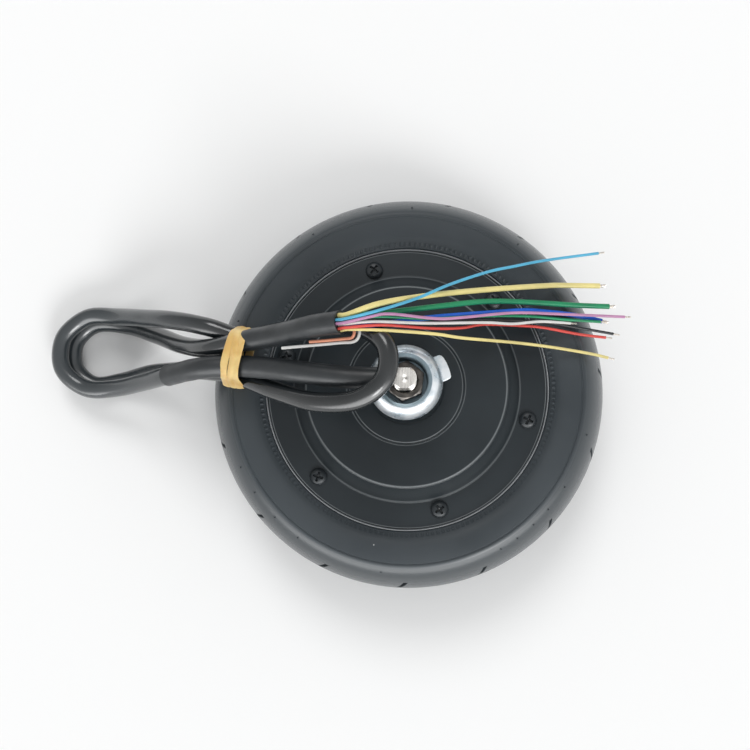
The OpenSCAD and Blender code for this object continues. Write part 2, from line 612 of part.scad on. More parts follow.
module wire(w) { cord(spline(w[1], 2), w[0], 8); }
module phase_yellow() { color([0.9, 0.82, 0.45]) wire(yellow3); }
module phase_green() { color([0.1, 0.5, 0.3]) wire(green3); }
module phase_blue() { color([0.05, 0.35, 0.85]) wire(blue3); }
module lead_sky() { color([0.3, 0.75, 0.85]) wire(sky1); }
module lead_pink() { color([0.75, 0.5, 0.65]) wire(pink1); }
module lead_green() { color([0.15, 0.5, 0.4]) wire(green1); }
module lead_black() { color([0.15, 0.15, 0.15]) wire(black1); }
module lead_white() { color([0.85, 0.85, 0.85]) wire(white1); }
module lead_red() { color([0.8, 0.2, 0.2]) wire(red1); }
module lead_yellow() { color([0.88, 0.8, 0.45]) wire(yellow1); }
module spare_white() { color([0.9, 0.9, 0.9]) wire(white_back); }
module spare_orange() { color([0.85, 0.5, 0.4]) wire(orange_back); }

// The stripped, tinned ends, one past each wire
module wire_ends() {
    color([0.78, 0.75, 0.7])
        for (w = [yellow3, green3, blue3, sky1, pink1, green1, black1, white1, red1, yellow1]) {
            n = len(w[1]);
            last = w[1][n - 1];
            way = unit(last - w[1][n - 2]);
            cord([last + 0.05 * way, last + end_l * way], w[0] * 0.6, 8);
        }
}

tyre();
rim();
rotor_yoke();
magnets();
front_cover();
rear_cover();
front_gasket();
rear_gasket();
front_screws();
rear_screws();
shaft_seal();
front_outer_race();
rear_outer_race();
bearing_snap_rings();
front_balls();
rear_balls();
front_cage();
rear_cage();
front_inner_race();
rear_inner_race();
axle();
axle_key();
stator_hub();
stator_core();
front_insulator();
rear_insulator();
windings();
hall_board();
hall_sensors();
inner_harness();
tab_washer();
cup_washer();
axle_nut();
motor_cable();
cable_sleeve();
heat_shrink();
rubber_band();
phase_yellow();
phase_green();
phase_blue();
lead_sky();
lead_pink();
lead_green();
lead_black();
lead_white();
lead_red();
lead_yellow();
spare_white();
spare_orange();
wire_ends();
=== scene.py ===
# %% [markdown]
# # A hub motor wheel
# A small scooter wheel lies on its rear cover. Its motor is inside the hub, so the axle stands still and
# carries the cable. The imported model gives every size; these cells add the surfaces that make it look real.

# %% Load the frame
import json
import math

import bmesh
import bpy
import numpy as np
from mathutils import Matrix, Vector


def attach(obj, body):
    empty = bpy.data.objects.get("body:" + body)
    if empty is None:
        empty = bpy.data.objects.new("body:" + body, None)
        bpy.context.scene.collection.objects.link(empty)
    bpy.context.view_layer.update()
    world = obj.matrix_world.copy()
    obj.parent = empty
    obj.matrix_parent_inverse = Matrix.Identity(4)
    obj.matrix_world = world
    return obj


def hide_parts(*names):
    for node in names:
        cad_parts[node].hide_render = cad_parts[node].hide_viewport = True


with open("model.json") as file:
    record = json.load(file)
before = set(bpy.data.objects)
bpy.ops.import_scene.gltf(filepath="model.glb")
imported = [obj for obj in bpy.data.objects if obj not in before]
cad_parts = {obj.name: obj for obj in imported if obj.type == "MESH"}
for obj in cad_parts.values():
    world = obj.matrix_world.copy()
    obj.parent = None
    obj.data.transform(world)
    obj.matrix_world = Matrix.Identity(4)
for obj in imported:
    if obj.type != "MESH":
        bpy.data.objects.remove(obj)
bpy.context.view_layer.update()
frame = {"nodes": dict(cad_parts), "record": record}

MM = 0.001
middle = 30.0  # height of the wheel's middle plane, in millimetres

# %% [markdown]
# ## Camera
# The wheel is looked at from a little over half a metre above it, leaning about seven degrees. Track-to
# rotations are unsure of their roll when a camera looks almost straight down, so the three axes are
# written out: the picture's up is the part of +Y that is square to the view.

# %% Camera
eye = Vector((9.81, -48.73, 580.0)) * MM
target = Vector((-17.98, 9.24, 30.0)) * MM
ahead = (target - eye).normalized()
right = ahead.cross(Vector((0, 1, 0))).normalized()
above = right.cross(ahead)
camera = bpy.data.objects.new("camera", bpy.data.cameras.new("camera"))
camera.data.sensor_width = 36
camera.data.lens = 47.35
camera.data.clip_start = 0.01
camera.matrix_world = Matrix.Translation(eye) @ Matrix((right, above, -ahead)).transposed().to_4x4()
bpy.context.scene.collection.objects.link(camera)
bpy.context.scene.camera = camera
print("camera leans", round(math.degrees(math.acos(-ahead.z)), 1), "degrees")

# %% [markdown]
# ## Nodes and links
# Materials and the world are both trees of shader nodes. Three small functions keep the trees short to read:
# `add` makes one node with its settings and values, `wire_up` links outputs to inputs in pairs, and `reckon`
# does one sum on one or two outputs.

# %% Node helpers
def add(tree, kind, settings=None, **inputs):
    """One shader node, with its settings and the values of its inputs."""
    node = tree.nodes.new("ShaderNode" + kind)
    for name, value in (settings or {}).items():
        setattr(node, name, value)
    for name, value in inputs.items():
        node.inputs[name.replace("_", " ")].default_value = value
    return node


def wire_up(tree, *pairs):
    """Links each pair of an output and an input."""
    for source, socket in pairs:
        tree.links.new(source, socket)


def reckon(tree, operation, *sources, clamp=False):
    """The output of a Math node that works on the outputs given."""
    node = add(tree, "Math", {"operation": operation, "use_clamp": clamp})
    wire_up(tree, *zip(sources, node.inputs))
    return node.outputs[0]


print("node helpers", [helper.__name__ for helper in (add, wire_up, reckon)])

# %% [markdown]
# ## Light
# A light tent is soft and even from all round. The world gives three fifths of the light on matt surfaces
# and two suns give the rest, so that a grey of 0.5 renders about as 0.5. Mirror-like surfaces see the tent
# itself: white in front, greyer behind, and one bright panel low down in front, which draws the light lines
# on edges. Light Path tells the cases apart, and the camera's own rays see plain white.

# %% World
matt_strength = 0.62
tent_back = 0.42
panel_strength = 4.0

scene = bpy.context.scene
world = bpy.data.worlds.new("tent")
scene.world = world
world.use_nodes = True
sky = world.node_tree
sky.nodes.clear()

axes = add(sky, "SeparateXYZ")
tent = add(sky, "MapRange", From_Min=-0.5, From_Max=0.75, To_Min=1.0, To_Max=tent_back)
panel = add(sky, "MapRange", From_Min=-0.45, From_Max=-0.75, To_Min=0.0, To_Max=panel_strength)
wire_up(sky, (add(sky, "TexCoord").outputs["Generated"], axes.inputs[0]),
        (axes.outputs["Y"], tent.inputs["Value"]), (axes.outputs["Y"], panel.inputs["Value"]))

ray = add(sky, "LightPath").outputs
matt, seen, mirrored = (add(sky, "Background", Color=(1, 1, 1, 1)) for _ in range(3))
matt.inputs["Strength"].default_value = matt_strength
is_mirror, is_seen = add(sky, "MixShader"), add(sky, "MixShader")
wire_up(sky, (reckon(sky, "ADD", tent.outputs[0], panel.outputs[0]), mirrored.inputs["Strength"]),
        (reckon(sky, "MAXIMUM", ray["Is Glossy Ray"], ray["Is Transmission Ray"]), is_mirror.inputs["Fac"]),
        (matt.outputs[0], is_mirror.inputs[1]), (mirrored.outputs[0], is_mirror.inputs[2]),
        (ray["Is Camera Ray"], is_seen.inputs["Fac"]), (is_mirror.outputs[0], is_seen.inputs[1]),
        (seen.outputs[0], is_seen.inputs[2]), (is_seen.outputs[0], add(sky, "OutputWorld").inputs[0]))
print("the tent has", len(sky.nodes), "nodes")

# %% [markdown]
# Area lamps would light the near side of the wheel more than the far side, so the lamps are suns. Each is
# more than 20 degrees wide, which keeps the shadow's edge soft. One comes from the front, the other from
# behind.

# %% Suns
def sun(name, strength, lean, around, softness):
    """A soft sun, leaning from straight overhead and coming from a compass angle."""
    lamp = bpy.data.lights.new(name, "SUN")
    lamp.energy = strength
    lamp.angle = math.radians(softness)
    holder = bpy.data.objects.new(name, lamp)
    holder.rotation_euler = (math.radians(lean), 0, math.radians(around))
    scene.collection.objects.link(holder)


sun("key_sun", strength=1.0, lean=52, around=28, softness=22)
sun("fill_sun", strength=0.8, lean=42, around=188, softness=26)
scene.view_settings.view_transform = "Standard"

# %% [markdown]
# ## Shapes from rows of points
# Nearly everything here is either turned on a lathe or drawn along a line. Each is a net of rows and
# columns: `turned` spins a profile of (radius, height) points, and `drawn` carries a ring along a path. A net
# written as numbers keeps every row where a groove or an edge needs it, which a primitive with modifiers
# doesn't. `rounded` puts a small radius on a profile's corners, because a sharp edge catches no light.

# %% Nets
def net(points, close_rows=False):
    """Vertices and faces of rows of rings: points[row][column] is a place in millimetres."""
    points = np.asarray(points, float)
    rows, columns = points.shape[:2]
    index = np.arange(rows * columns).reshape(rows, columns)
    last = rows if close_rows else rows - 1
    faces = []
    for row in range(last):
        a, b = index[row], index[(row + 1) % rows]
        faces += np.stack([a, np.roll(a, -1), np.roll(b, -1), b], 1).tolist()
    return points.reshape(-1, 3).tolist(), faces


def turned(profile, columns, rise=0.0):
    """The (radius, height) profile spun round Z and lifted by rise."""
    profile = np.asarray(profile, float)
    angles = np.linspace(0, 2 * np.pi, columns, endpoint=False)
    r, z = profile[:, 0, None], profile[:, 1, None]
    return net(np.stack([r * np.cos(angles), r * np.sin(angles), z + rise + 0 * angles], 2), close_rows=True)


def rounded(profile, radius, steps):
    """The closed profile with its corners rounded, apart from the ones on the axis."""
    out, count = [], len(profile)
    most = 0.45  # of a side's length, so that two corners never meet
    for i in range(count):
        before, here, after = (np.array(profile[(i + k) % count], float) for k in (-1, 0, 1))
        one, two = before - here, after - here
        a, b = np.linalg.norm(one), np.linalg.norm(two)
        if a * b == 0 or here[0] == 0:
            out.append(here.tolist())
            continue
        reach = min(radius, most * a, most * b)
        start, end = here + one / a * reach, here + two / b * reach
        for t in np.linspace(0, 1, steps + 1):
            out.append(((1 - t) ** 2 * start + 2 * t * (1 - t) * here + t * t * end).tolist())
    return out


def together(*shapes):
    """Several shapes as one."""
    verts, faces = [], []
    for shape_verts, shape_faces in shapes:
        start = len(verts)
        verts += shape_verts
        faces += [[v + start for v in face] for face in shape_faces]
    return verts, faces


def moved(shape, turn=0.0, by=(0, 0, 0), flip=False):
    """The shape mirrored to the rear if asked, then turned about Z by degrees, then moved."""
    points = np.asarray(shape[0], float)
    if flip:
        points = points * [1, 1, -1]
    c, s = math.cos(math.radians(turn)), math.sin(math.radians(turn))
    points = points @ np.array([[c, s, 0], [-s, c, 0], [0, 0, 1]]) + np.asarray(by, float)
    return points.tolist(), shape[1]


print("a turned ring has", len(turned([(1, 0), (2, 0), (2, 1), (1, 1)], 16)[1]), "faces")

# %% [markdown]
# ## Ways of cables and wires
# A soft cord has no kinks, so a few points in space are joined by a Catmull-Rom curve, which passes through
# each of them. A ring is carried along the curve without twisting: each ring's up direction is the last
# one's, turned as little as the path turns.

# %% Smooth ways
def smooth(points, steps):
    """A smooth way through the points, with so many steps between each two."""
    p = np.asarray(points, float)
    p = np.vstack([2 * p[0] - p[1], p, 2 * p[-1] - p[-2]])
    out = []
    for i in range(1, len(p) - 2):
        a, b, c, d = p[i - 1:i + 3]
        for t in np.arange(steps) / steps:
            out.append(0.5 * (2 * b + (c - a) * t + (2 * a - 5 * b + 4 * c - d) * t ** 2
                              + (3 * b - a - 3 * c + d) * t ** 3))
    return np.array(out + [p[-2]])


def drawn(way, radius, sides, wobble=0.0, seed=0):
    """A tube along a way. radius is one number or one per point, and wobble makes it a little uneven."""
    way = np.asarray(way, float)
    radii = np.broadcast_to(np.asarray(radius, float), len(way)).copy()
    heading = np.gradient(way, axis=0)
    heading /= np.linalg.norm(heading, axis=1)[:, None]
    up = np.array([0, 0, 1.0]) if abs(heading[0][2]) < 0.9 else np.array([1.0, 0, 0])
    quick_start, slow_start = np.random.default_rng(seed).uniform(0, 6.28, 2)
    round_it = np.linspace(0, 2 * np.pi, sides, endpoint=False)
    rings = []
    for i, (place, ahead_of) in enumerate(zip(way, heading)):
        up = up - ahead_of * (up @ ahead_of)
        up /= np.linalg.norm(up)
        side = np.cross(ahead_of, up)
        waves = np.sin(0.9 * i + quick_start + round_it) + np.sin(0.37 * i + slow_start - 2 * round_it)
        ripple = 1 + wobble * waves / 2
        rings.append(place + radii[i] * ripple[:, None] * (
            np.cos(round_it)[:, None] * side + np.sin(round_it)[:, None] * up))
    verts, faces = net(rings)
    count = len(way)
    faces.append(list(range(sides - 1, -1, -1)))
    faces.append([(count - 1) * sides + k for k in range(sides)])
    return verts, faces


print("a short tube has", len(drawn([(0, 0, 0), (5, 0, 0), (10, 0, 0)], 1.0, 12)[1]), "faces")

# %% [markdown]
# ## Effects that several finishes share
# Moulded rubber, paint and metal all need some fine unevenness, so those effects are node groups, made once
# and placed in each material with its own values. A group puts out only masks and heights. The shader stays
# in the material, with its plain numbers on its own sockets.

# %% Group helpers
def group(name, inputs, outputs):
    """A new node group, with its place, its given inputs and its outputs."""
    tree = bpy.data.node_groups.new(name, "ShaderNodeTree")
    for label, value in inputs.items():
        socket = tree.interface.new_socket(name=label, in_out="INPUT", socket_type="NodeSocketFloat")
        socket.default_value = value
    for label in outputs:
        tree.interface.new_socket(name=label, in_out="OUTPUT", socket_type="NodeSocketFloat")
    place = add(tree, "TexCoord").outputs["Object"]
    return tree, place, tree.nodes.new("NodeGroupInput").outputs, tree.nodes.new("NodeGroupOutput").inputs


def contrast(tree, source, low, high):
    """Stretches a value between low and high to the full range."""
    node = add(tree, "MapRange", From_Min=low, From_Max=high)
    wire_up(tree, (source, node.inputs["Value"]))
    return node.outputs[0]


def noise(tree, place, scale, **values):
    """A noise texture at a place, with a scale that the group is given."""
    node = add(tree, "TexNoise", **values)
    wire_up(tree, (place, node.inputs["Vector"]), (scale, node.inputs["Scale"]))
    return node.outputs[0]


def from_axle(tree, place):
    """How far a place is from the axle's line, and its height."""
    split, level = add(tree, "SeparateXYZ"), add(tree, "CombineXYZ")
    reach = add(tree, "VectorMath", {"operation": "LENGTH"})
    wire_up(tree, (place, split.inputs[0]), (split.outputs["X"], level.inputs["X"]),
            (split.outputs["Y"], level.inputs["Y"]), (level.outputs[0], reach.inputs[0]))
    return reach.outputs["Value"], split.outputs["Z"]


print("group helpers", [helper.__name__ for helper in (group, contrast, noise, from_axle)])

# %% [markdown]
# Grain is the fine skin of rubber and paint: one small noise for its height, and one as large as a fingertip
# that shifts the shade. Turning marks are noise that changes with the distance from the axle, but not on the
# way round it.

# %% Grain and turning marks
grain, place, given, out = group("grain", {"Scale": 900.0, "Cloud Scale": 60.0}, ["Height", "Shade"])
fine = noise(grain, place, given["Scale"], Detail=4.0, Roughness=0.6)
cloud = noise(grain, place, given["Cloud Scale"], Detail=3.0)
wire_up(grain, (fine, out["Height"]), (contrast(grain, cloud, 0.35, 0.65), out["Shade"]))

lathe_marks, place, given, out = group("lathe_marks", {"Scale": 2500.0, "Cloud Scale": 60.0},
                                       ["Height", "Shade"])
radius, height = from_axle(lathe_marks, place)
ring_place = add(lathe_marks, "CombineXYZ")
wire_up(lathe_marks, (radius, ring_place.inputs["X"]), (height, ring_place.inputs["Y"]))
turning = noise(lathe_marks, ring_place.outputs[0], given["Scale"], Detail=3.0, Roughness=0.7)
cloud = noise(lathe_marks, place, given["Cloud Scale"], Detail=4.0)
wire_up(lathe_marks, (turning, out["Height"]), (contrast(lathe_marks, cloud, 0.38, 0.62), out["Shade"]))
print("grain", len(grain.nodes), "nodes, turning marks", len(lathe_marks.nodes))

# %% [markdown]
# Brushed metal is noise that is stretched along one axis, so it draws streaks. Dust is small round dots: a
# Voronoi texture gives each cell a chance colour, and only a share of the cells shows its middle.

# %% Streaks and dust
streaks, place, given, out = group("streaks", {"Scale": 1800.0, "Length": 0.03}, ["Height", "Shade"])
split, stretched = add(streaks, "SeparateXYZ"), add(streaks, "CombineXYZ")
wire_up(streaks, (place, split.inputs[0]), (split.outputs["X"], stretched.inputs["X"]),
        (reckon(streaks, "MULTIPLY", split.outputs["Y"], given["Length"]), stretched.inputs["Y"]),
        (split.outputs["Z"], stretched.inputs["Z"]))
brush = noise(streaks, stretched.outputs[0], given["Scale"], Detail=3.0, Roughness=0.7)
wire_up(streaks, (brush, out["Height"]), (contrast(streaks, brush, 0.35, 0.65), out["Shade"]))

specks, place, given, out = group("specks", {"Scale": 170.0, "Size": 0.065, "Share": 0.1}, ["Mask"])
cells, chosen = add(specks, "TexVoronoi"), add(specks, "SeparateColor")
wire_up(specks, (place, cells.inputs["Vector"]), (given["Scale"], cells.inputs["Scale"]),
        (cells.outputs["Color"], chosen.inputs[0]))
pick = reckon(specks, "LESS_THAN", chosen.outputs[0], given["Share"])
small = reckon(specks, "LESS_THAN", cells.outputs["Distance"], given["Size"])
wire_up(specks, (reckon(specks, "MULTIPLY", pick, small), out["Mask"]))
print("streaks", len(streaks.nodes), "nodes, specks", len(specks.nodes))

# %% [markdown]
# Three more masks say where on the object a place is: outside a circle round the axle, close to a circle, or
# past a line across the cable. They place painted highlights, painted shade and a painted sheen, and each
# fades over a distance that it is given, so that the painted light has no hard edge.

# %% Masks by place
beyond, place, given, out = group("beyond_radius", {"Radius": 0.0945, "Fade": 0.0015}, ["Mask"])
past = reckon(beyond, "SUBTRACT", from_axle(beyond, place)[0], given["Radius"])
wire_up(beyond, (reckon(beyond, "DIVIDE", past, given["Fade"], clamp=True), out["Mask"]))

# A mask for pale rings of painted highlight along a circle.
highlight_ring, place, given, out = group("painted_highlight_ring", {"Radius": 0.05, "Width": 0.0006}, ["Mask"])
gap = reckon(highlight_ring, "ABSOLUTE", reckon(highlight_ring, "SUBTRACT", from_axle(highlight_ring, place)[0], given["Radius"]))
fall = reckon(highlight_ring, "DIVIDE", gap, given["Width"])
wire_up(highlight_ring, (contrast(highlight_ring, fall, 1.0, 0.2), out["Mask"]))

along_x, place, given, out = group("along_x", {"Start": -0.1, "Fade": 0.06}, ["Mask"])
split = add(along_x, "SeparateXYZ")
wire_up(along_x, (place, split.inputs[0]))
past = reckon(along_x, "SUBTRACT", given["Start"], split.outputs["X"])
wire_up(along_x, (reckon(along_x, "DIVIDE", past, given["Fade"], clamp=True), out["Mask"]))
print("effects", [g.name for g in bpy.data.node_groups])

# %% [markdown]
# ## Finishes
# One function makes each finish, because the steps are the same: a cloud mask moves the colour between two
# near shades and the roughness with it, dust specks lie on top, and the effect's height goes through a Bump.
# The record's slot names are kept, so a scene can repaint the part by slot. Colours are linear.

# %% A finish
finishes = {}
dust_grey = (0.45, 0.46, 0.46, 1)


def finish(slot, colour, second, roughness, effect=grain, scale=900.0, cloud=60.0, depth=0.00003,
           spread=0.08, dust=0.0, **shader):
    """A material for a slot; cloud is the effect's second input, and shader holds the plain values."""
    material = bpy.data.materials.new(slot)
    material.use_nodes = True
    tree = material.node_tree
    principled = tree.nodes["Principled BSDF"]
    for name, value in shader.items():
        principled.inputs[name.replace("_", " ")].default_value = value
    surface = add(tree, "Group", {"node_tree": effect}, Scale=scale)
    surface.inputs[1].default_value = cloud
    shade = surface.outputs["Shade"]
    shades = add(tree, "Mix", {"data_type": "RGBA"}, A=(*second, 1), B=(*colour, 1))
    uneven = add(tree, "MapRange", To_Min=roughness - spread, To_Max=roughness + spread)
    bump = add(tree, "Bump", Strength=1.0, Distance=depth)
    wire_up(tree, (shade, shades.inputs["Factor"]), (shade, uneven.inputs["Value"]),
            (uneven.outputs[0], principled.inputs["Roughness"]),
            (surface.outputs["Height"], bump.inputs["Height"]),
            (bump.outputs[0], principled.inputs["Normal"]))
    colour_out = shades.outputs["Result"]
    if dust:
        grit = add(tree, "Group", {"node_tree": specks}, Share=dust)
        dusty = add(tree, "Mix", {"data_type": "RGBA"}, B=dust_grey)
        wire_up(tree, (grit.outputs["Mask"], dusty.inputs["Factor"]), (colour_out, dusty.inputs["A"]))
        colour_out = dusty.outputs["Result"]
    wire_up(tree, (colour_out, principled.inputs["Base Color"]))
    finishes[slot] = material


print("a finish is made from", [g.name for g in (grain, lathe_marks, streaks, specks)])

# %% [markdown]
# Tyre rubber is matt, and the covers are powder coated, so both keep a broad highlight. The band is raw
# rubber, which lets some light through, so it has a little subsurface.

# %% Rubber and paint
finish("tyre_rubber", (0.036, 0.045, 0.052), (0.024, 0.032, 0.038), 0.55, scale=1400, cloud=25,
       depth=0.00004, dust=0.05, Specular_IOR_Level=0.45)
finish("cover_paint", (0.0235, 0.0300, 0.0345), (0.0175, 0.0230, 0.0268), 0.34, scale=2200, cloud=18,
       depth=0.00002, spread=0.05, dust=0.07, Specular_IOR_Level=0.26)
finish("black_screw", (0.020, 0.025, 0.029), (0.026, 0.031, 0.035), 0.36, scale=1500, depth=0.00002,
       Specular_IOR_Level=0.36)
finish("seal_rubber", (0.012, 0.011, 0.010), (0.008, 0.007, 0.007), 0.6, scale=1500)
finish("band_rubber", (0.86, 0.64, 0.27), (0.74, 0.47, 0.15), 0.42, scale=700, cloud=120, depth=0.00006,
       Subsurface_Weight=0.2, Subsurface_Radius=(0.004, 0.002, 0.001))
print(len(finishes), "finishes so far")

# %% [markdown]
# The cable's jacket is smooth from the die that it was pressed through, so it has a thin coat over its own
# gloss. The sleeve and the shrink tube are duller, and the board inside the motor is lacquered.

# %% Plastics
finish("black_plastic", (0.012, 0.012, 0.013), (0.02, 0.02, 0.02), 0.5, scale=1800)
finish("cable_jacket", (0.0065, 0.0090, 0.0105), (0.013, 0.017, 0.0195), 0.22, scale=700, cloud=30,
       depth=0.00002, spread=0.05, Specular_IOR_Level=0.6, Coat_Weight=0.5, Coat_Roughness=0.1)
finish("sleeve_plastic", (0.017, 0.020, 0.0225), (0.026, 0.030, 0.033), 0.38, scale=420, cloud=90,
       depth=0.00008, spread=0.06, Specular_IOR_Level=0.5)
finish("insulator_nylon", (0.62, 0.58, 0.48), (0.55, 0.50, 0.40), 0.5, scale=1200)
finish("board_green", (0.008, 0.075, 0.03), (0.012, 0.10, 0.04), 0.3, scale=500, cloud=200)
print(len(finishes), "finishes so far")

# %% [markdown]
# The wires' coats are one plastic in nine colours, so one loop makes them. The second shade is a little
# darker than the first, as where a coat is thinner.

# %% Wire coats
coats = {
    "wire_yellow": (0.86, 0.74, 0.30), "wire_green": (0.012, 0.27, 0.115), "wire_blue": (0.014, 0.14, 0.74),
    "wire_sky": (0.10, 0.48, 0.72), "wire_pink": (0.56, 0.27, 0.46), "wire_black": (0.014, 0.016, 0.018),
    "wire_white": (0.74, 0.74, 0.72), "wire_red": (0.72, 0.075, 0.06), "wire_orange": (0.80, 0.33, 0.20)}
darker = 0.82
for slot, colour in coats.items():
    finish(slot, colour, tuple(darker * c for c in colour), 0.42, scale=1600, cloud=70, depth=0.00002,
           Specular_IOR_Level=0.45)
print(len(finishes), "finishes so far")

# %% [markdown]
# Turned metals take the turning marks and drawn ones take the streaks. A metal's colour is that of its
# highlight, so zinc is a pale blue-grey and an oiled nut is nearly black. Plating is never a perfect metal
# here: a value a little under 1 keeps its shaded side from going black.

# %% Metals that show
finish("rim_metal", (0.13, 0.14, 0.15), (0.08, 0.088, 0.095), 0.38, scale=1500, Metallic=0.85)
finish("bright_axle", (0.84, 0.82, 0.78), (0.70, 0.68, 0.65), 0.30, effect=streaks, scale=1500, cloud=0.05,
       depth=0.00003, Metallic=0.8)
finish("zinc", (0.86, 0.90, 0.93), (0.50, 0.60, 0.67), 0.30, effect=lathe_marks, scale=2600, cloud=110,
       depth=0.00002, spread=0.08, Metallic=0.6)
finish("nut_steel", (0.13, 0.12, 0.11), (0.06, 0.057, 0.054), 0.34, effect=lathe_marks, scale=3000,
       cloud=220, depth=0.00003, Metallic=1.0)
finish("tinned_copper", (0.80, 0.77, 0.72), (0.66, 0.60, 0.53), 0.3, effect=streaks, scale=2500, cloud=0.05,
       Metallic=0.8)
print(len(finishes), "finishes so far")

# %% [markdown]
# The metals inside the motor are hidden while the wheel is whole. They get finishes of their own as well, so
# that the part can be cut open or taken apart in another scene.

# %% Metals inside the motor
finish("bearing_steel", (0.66, 0.67, 0.69), (0.56, 0.57, 0.60), 0.14, effect=lathe_marks, scale=3500,
       spread=0.04, depth=0.000005, Metallic=1.0)
finish("plain_steel", (0.34, 0.35, 0.37), (0.22, 0.23, 0.25), 0.38, effect=lathe_marks, Metallic=1.0)
finish("laminations", (0.26, 0.27, 0.29), (0.18, 0.18, 0.20), 0.45, scale=2400, Metallic=1.0)
finish("magnet_nickel", (0.58, 0.58, 0.60), (0.48, 0.47, 0.46), 0.22, scale=900, Metallic=1.0)
finish("hub_aluminium", (0.62, 0.63, 0.65), (0.50, 0.51, 0.53), 0.42, scale=1300, depth=0.00005, Metallic=1.0)
finish("copper_winding", (0.60, 0.20, 0.06), (0.42, 0.12, 0.035), 0.3, scale=1500, Metallic=0.9)
finish("cage_brass", (0.58, 0.44, 0.20), (0.46, 0.33, 0.14), 0.34, effect=lathe_marks, Metallic=1.0)
print(len(finishes), "finishes in all")

# %% [markdown]
# ## Painted highlights and shade
# Some finishes change from place to place. The tyre's tread is shinier than its sidewalls, and paler as a
# painted highlight. The covers' turned edges, their sloped band and the rim's lip get pale rings of painted
# highlight, and the cup washer's mouth is duller and darker, as painted shade. The cable's far loops are
# paler and rougher, as a painted sheen. `blend_in` lays each change over a finish by a mask, so that it
# follows its circle all the way round.

# %% Blends
def blend_in(slot, mask, colour, roughness=None):
    """Moves a finish towards another colour, and another roughness if one is given, by a mask."""
    tree = finishes[slot].node_tree
    principled = tree.nodes["Principled BSDF"]
    changes = [("Base Color", "RGBA", (*colour, 1))]
    if roughness is not None:
        changes.append(("Roughness", "FLOAT", roughness))
    for socket, kind, value in changes:
        before = principled.inputs[socket].links[0].from_socket
        blend = add(tree, "Mix", {"data_type": kind})
        first, second = [i for i in blend.inputs if i.enabled and i.name in ("A", "B")]
        second.default_value = value
        result = [o for o in blend.outputs if o.enabled][0]
        wire_up(tree, (mask, blend.inputs[0]), (before, first), (result, principled.inputs[socket]))


def mask_of(slot, effect, **inputs):
    """The mask that a group gives inside a slot's material."""
    return add(finishes[slot].node_tree, "Group", {"node_tree": effect}, **inputs).outputs["Mask"]


print("masks", [g.name for g in (beyond, highlight_ring, along_x)])

# %% Painted highlights, shade and sheen
# The tread's paler colour is a painted highlight on the shoulder; its lower roughness is real.
blend_in("tyre_rubber", mask_of("tyre_rubber", beyond), (0.058, 0.068, 0.075), 0.27)
# A pale ring of painted highlight on the rim's lip.
blend_in("rim_metal", mask_of("rim_metal", highlight_ring, Radius=0.0762, Width=0.0004), (0.60, 0.62, 0.64))
# The far loops' paler colour is a painted sheen, and they get a higher roughness with it.
blend_in("cable_jacket", mask_of("cable_jacket", along_x), (0.032, 0.040, 0.045), 0.27)

paint = finishes["cover_paint"].node_tree
# Pale rings of painted highlight on the cover's turned edges and hub ring, and a faint painted highlight over
# its sloped band.
painted_highlight_rings = [(0.0529, 0.0006, 0.65), (0.0610, 0.0007, 0.5), (0.0313, 0.00045, 0.6), (0.0298, 0.00045, 0.5),
              (0.0749, 0.0005, 0.9), (0.0569, 0.0044, 0.08)]
for edge_r, wide, strength in painted_highlight_rings:
    weaker = add(paint, "Math", {"operation": "MULTIPLY"})
    weaker.inputs[1].default_value = strength
    wire_up(paint, (mask_of("cover_paint", highlight_ring, Radius=edge_r, Width=wide), weaker.inputs[0]))
    blend_in("cover_paint", weaker.outputs[0], (0.22, 0.24, 0.25))

plating = finishes["zinc"].node_tree
# The darker colour in the cup washer's mouth is painted shade; it is duller there as well.
mouth = add(plating, "Math", {"operation": "SUBTRACT"})
mouth.inputs[0].default_value = 1.0
wire_up(plating, (mask_of("zinc", beyond, Radius=0.0136, Fade=0.0002), mouth.inputs[1]))
blend_in("zinc", mouth.outputs[0], (0.26, 0.34, 0.39), 0.36)
print("the paint has", len(paint.nodes), "nodes")

# %% [markdown]
# ## Dressing the CAD nodes
# The pieces inside the motor have the right shape already, so each only gets its finish, and the CAD mesh
# stays as it is. Pieces that show from outside are rebuilt further down and hide their nodes.

# %% Dress the nodes
slot_of = {part["node"]: part["material_slot"] for part in frame["record"]["subparts"]}
for name, node in frame["nodes"].items():
    for place_for in node.material_slots:
        place_for.material = finishes[slot_of[name]]
print("dressed", len(slot_of), "nodes")

# %% [markdown]
# ## Making a piece
# `build` turns a net into an object: it welds the seam, faces all the sides outwards, shades smoothly across
# gentle angles only, ties the piece to its body, and hides the node that it stands for.

# %% Build a piece
def build(name, shape, slot, body, *stands_for, sharp=32):
    """A piece in a slot's finish; an edge bent by more than sharp degrees stays sharp."""
    mesh = bpy.data.meshes.new(name)
    mesh.from_pydata([[c * MM for c in v] for v in shape[0]], [], shape[1])
    work = bmesh.new()
    work.from_mesh(mesh)
    bmesh.ops.remove_doubles(work, verts=work.verts, dist=2e-6)
    bmesh.ops.recalc_face_normals(work, faces=work.faces)
    limit = math.radians(sharp)
    for face in work.faces:
        face.smooth = True
    for edge in work.edges:
        edge.smooth = len(edge.link_faces) == 2 and edge.calc_face_angle(0) < limit
    work.to_mesh(mesh)
    work.free()
    mesh.materials.append(finishes[slot])
    piece = bpy.data.objects.new(name, mesh)
    scene.collection.objects.link(piece)
    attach(piece, body)
    if stands_for:
        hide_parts(*stands_for)
    print(name, len(mesh.polygons), "faces")
    return piece


# %% [markdown]
# ## The motor cable
# The cable leaves the axle's side, goes out to the far loops, comes back over itself, makes one loop beside
# the axle, and runs out and back once more to its cut end. These are the same points as in the CAD source,
# in millimetres. A plain tube would look like pipe, so its radius wobbles by a hundredth.

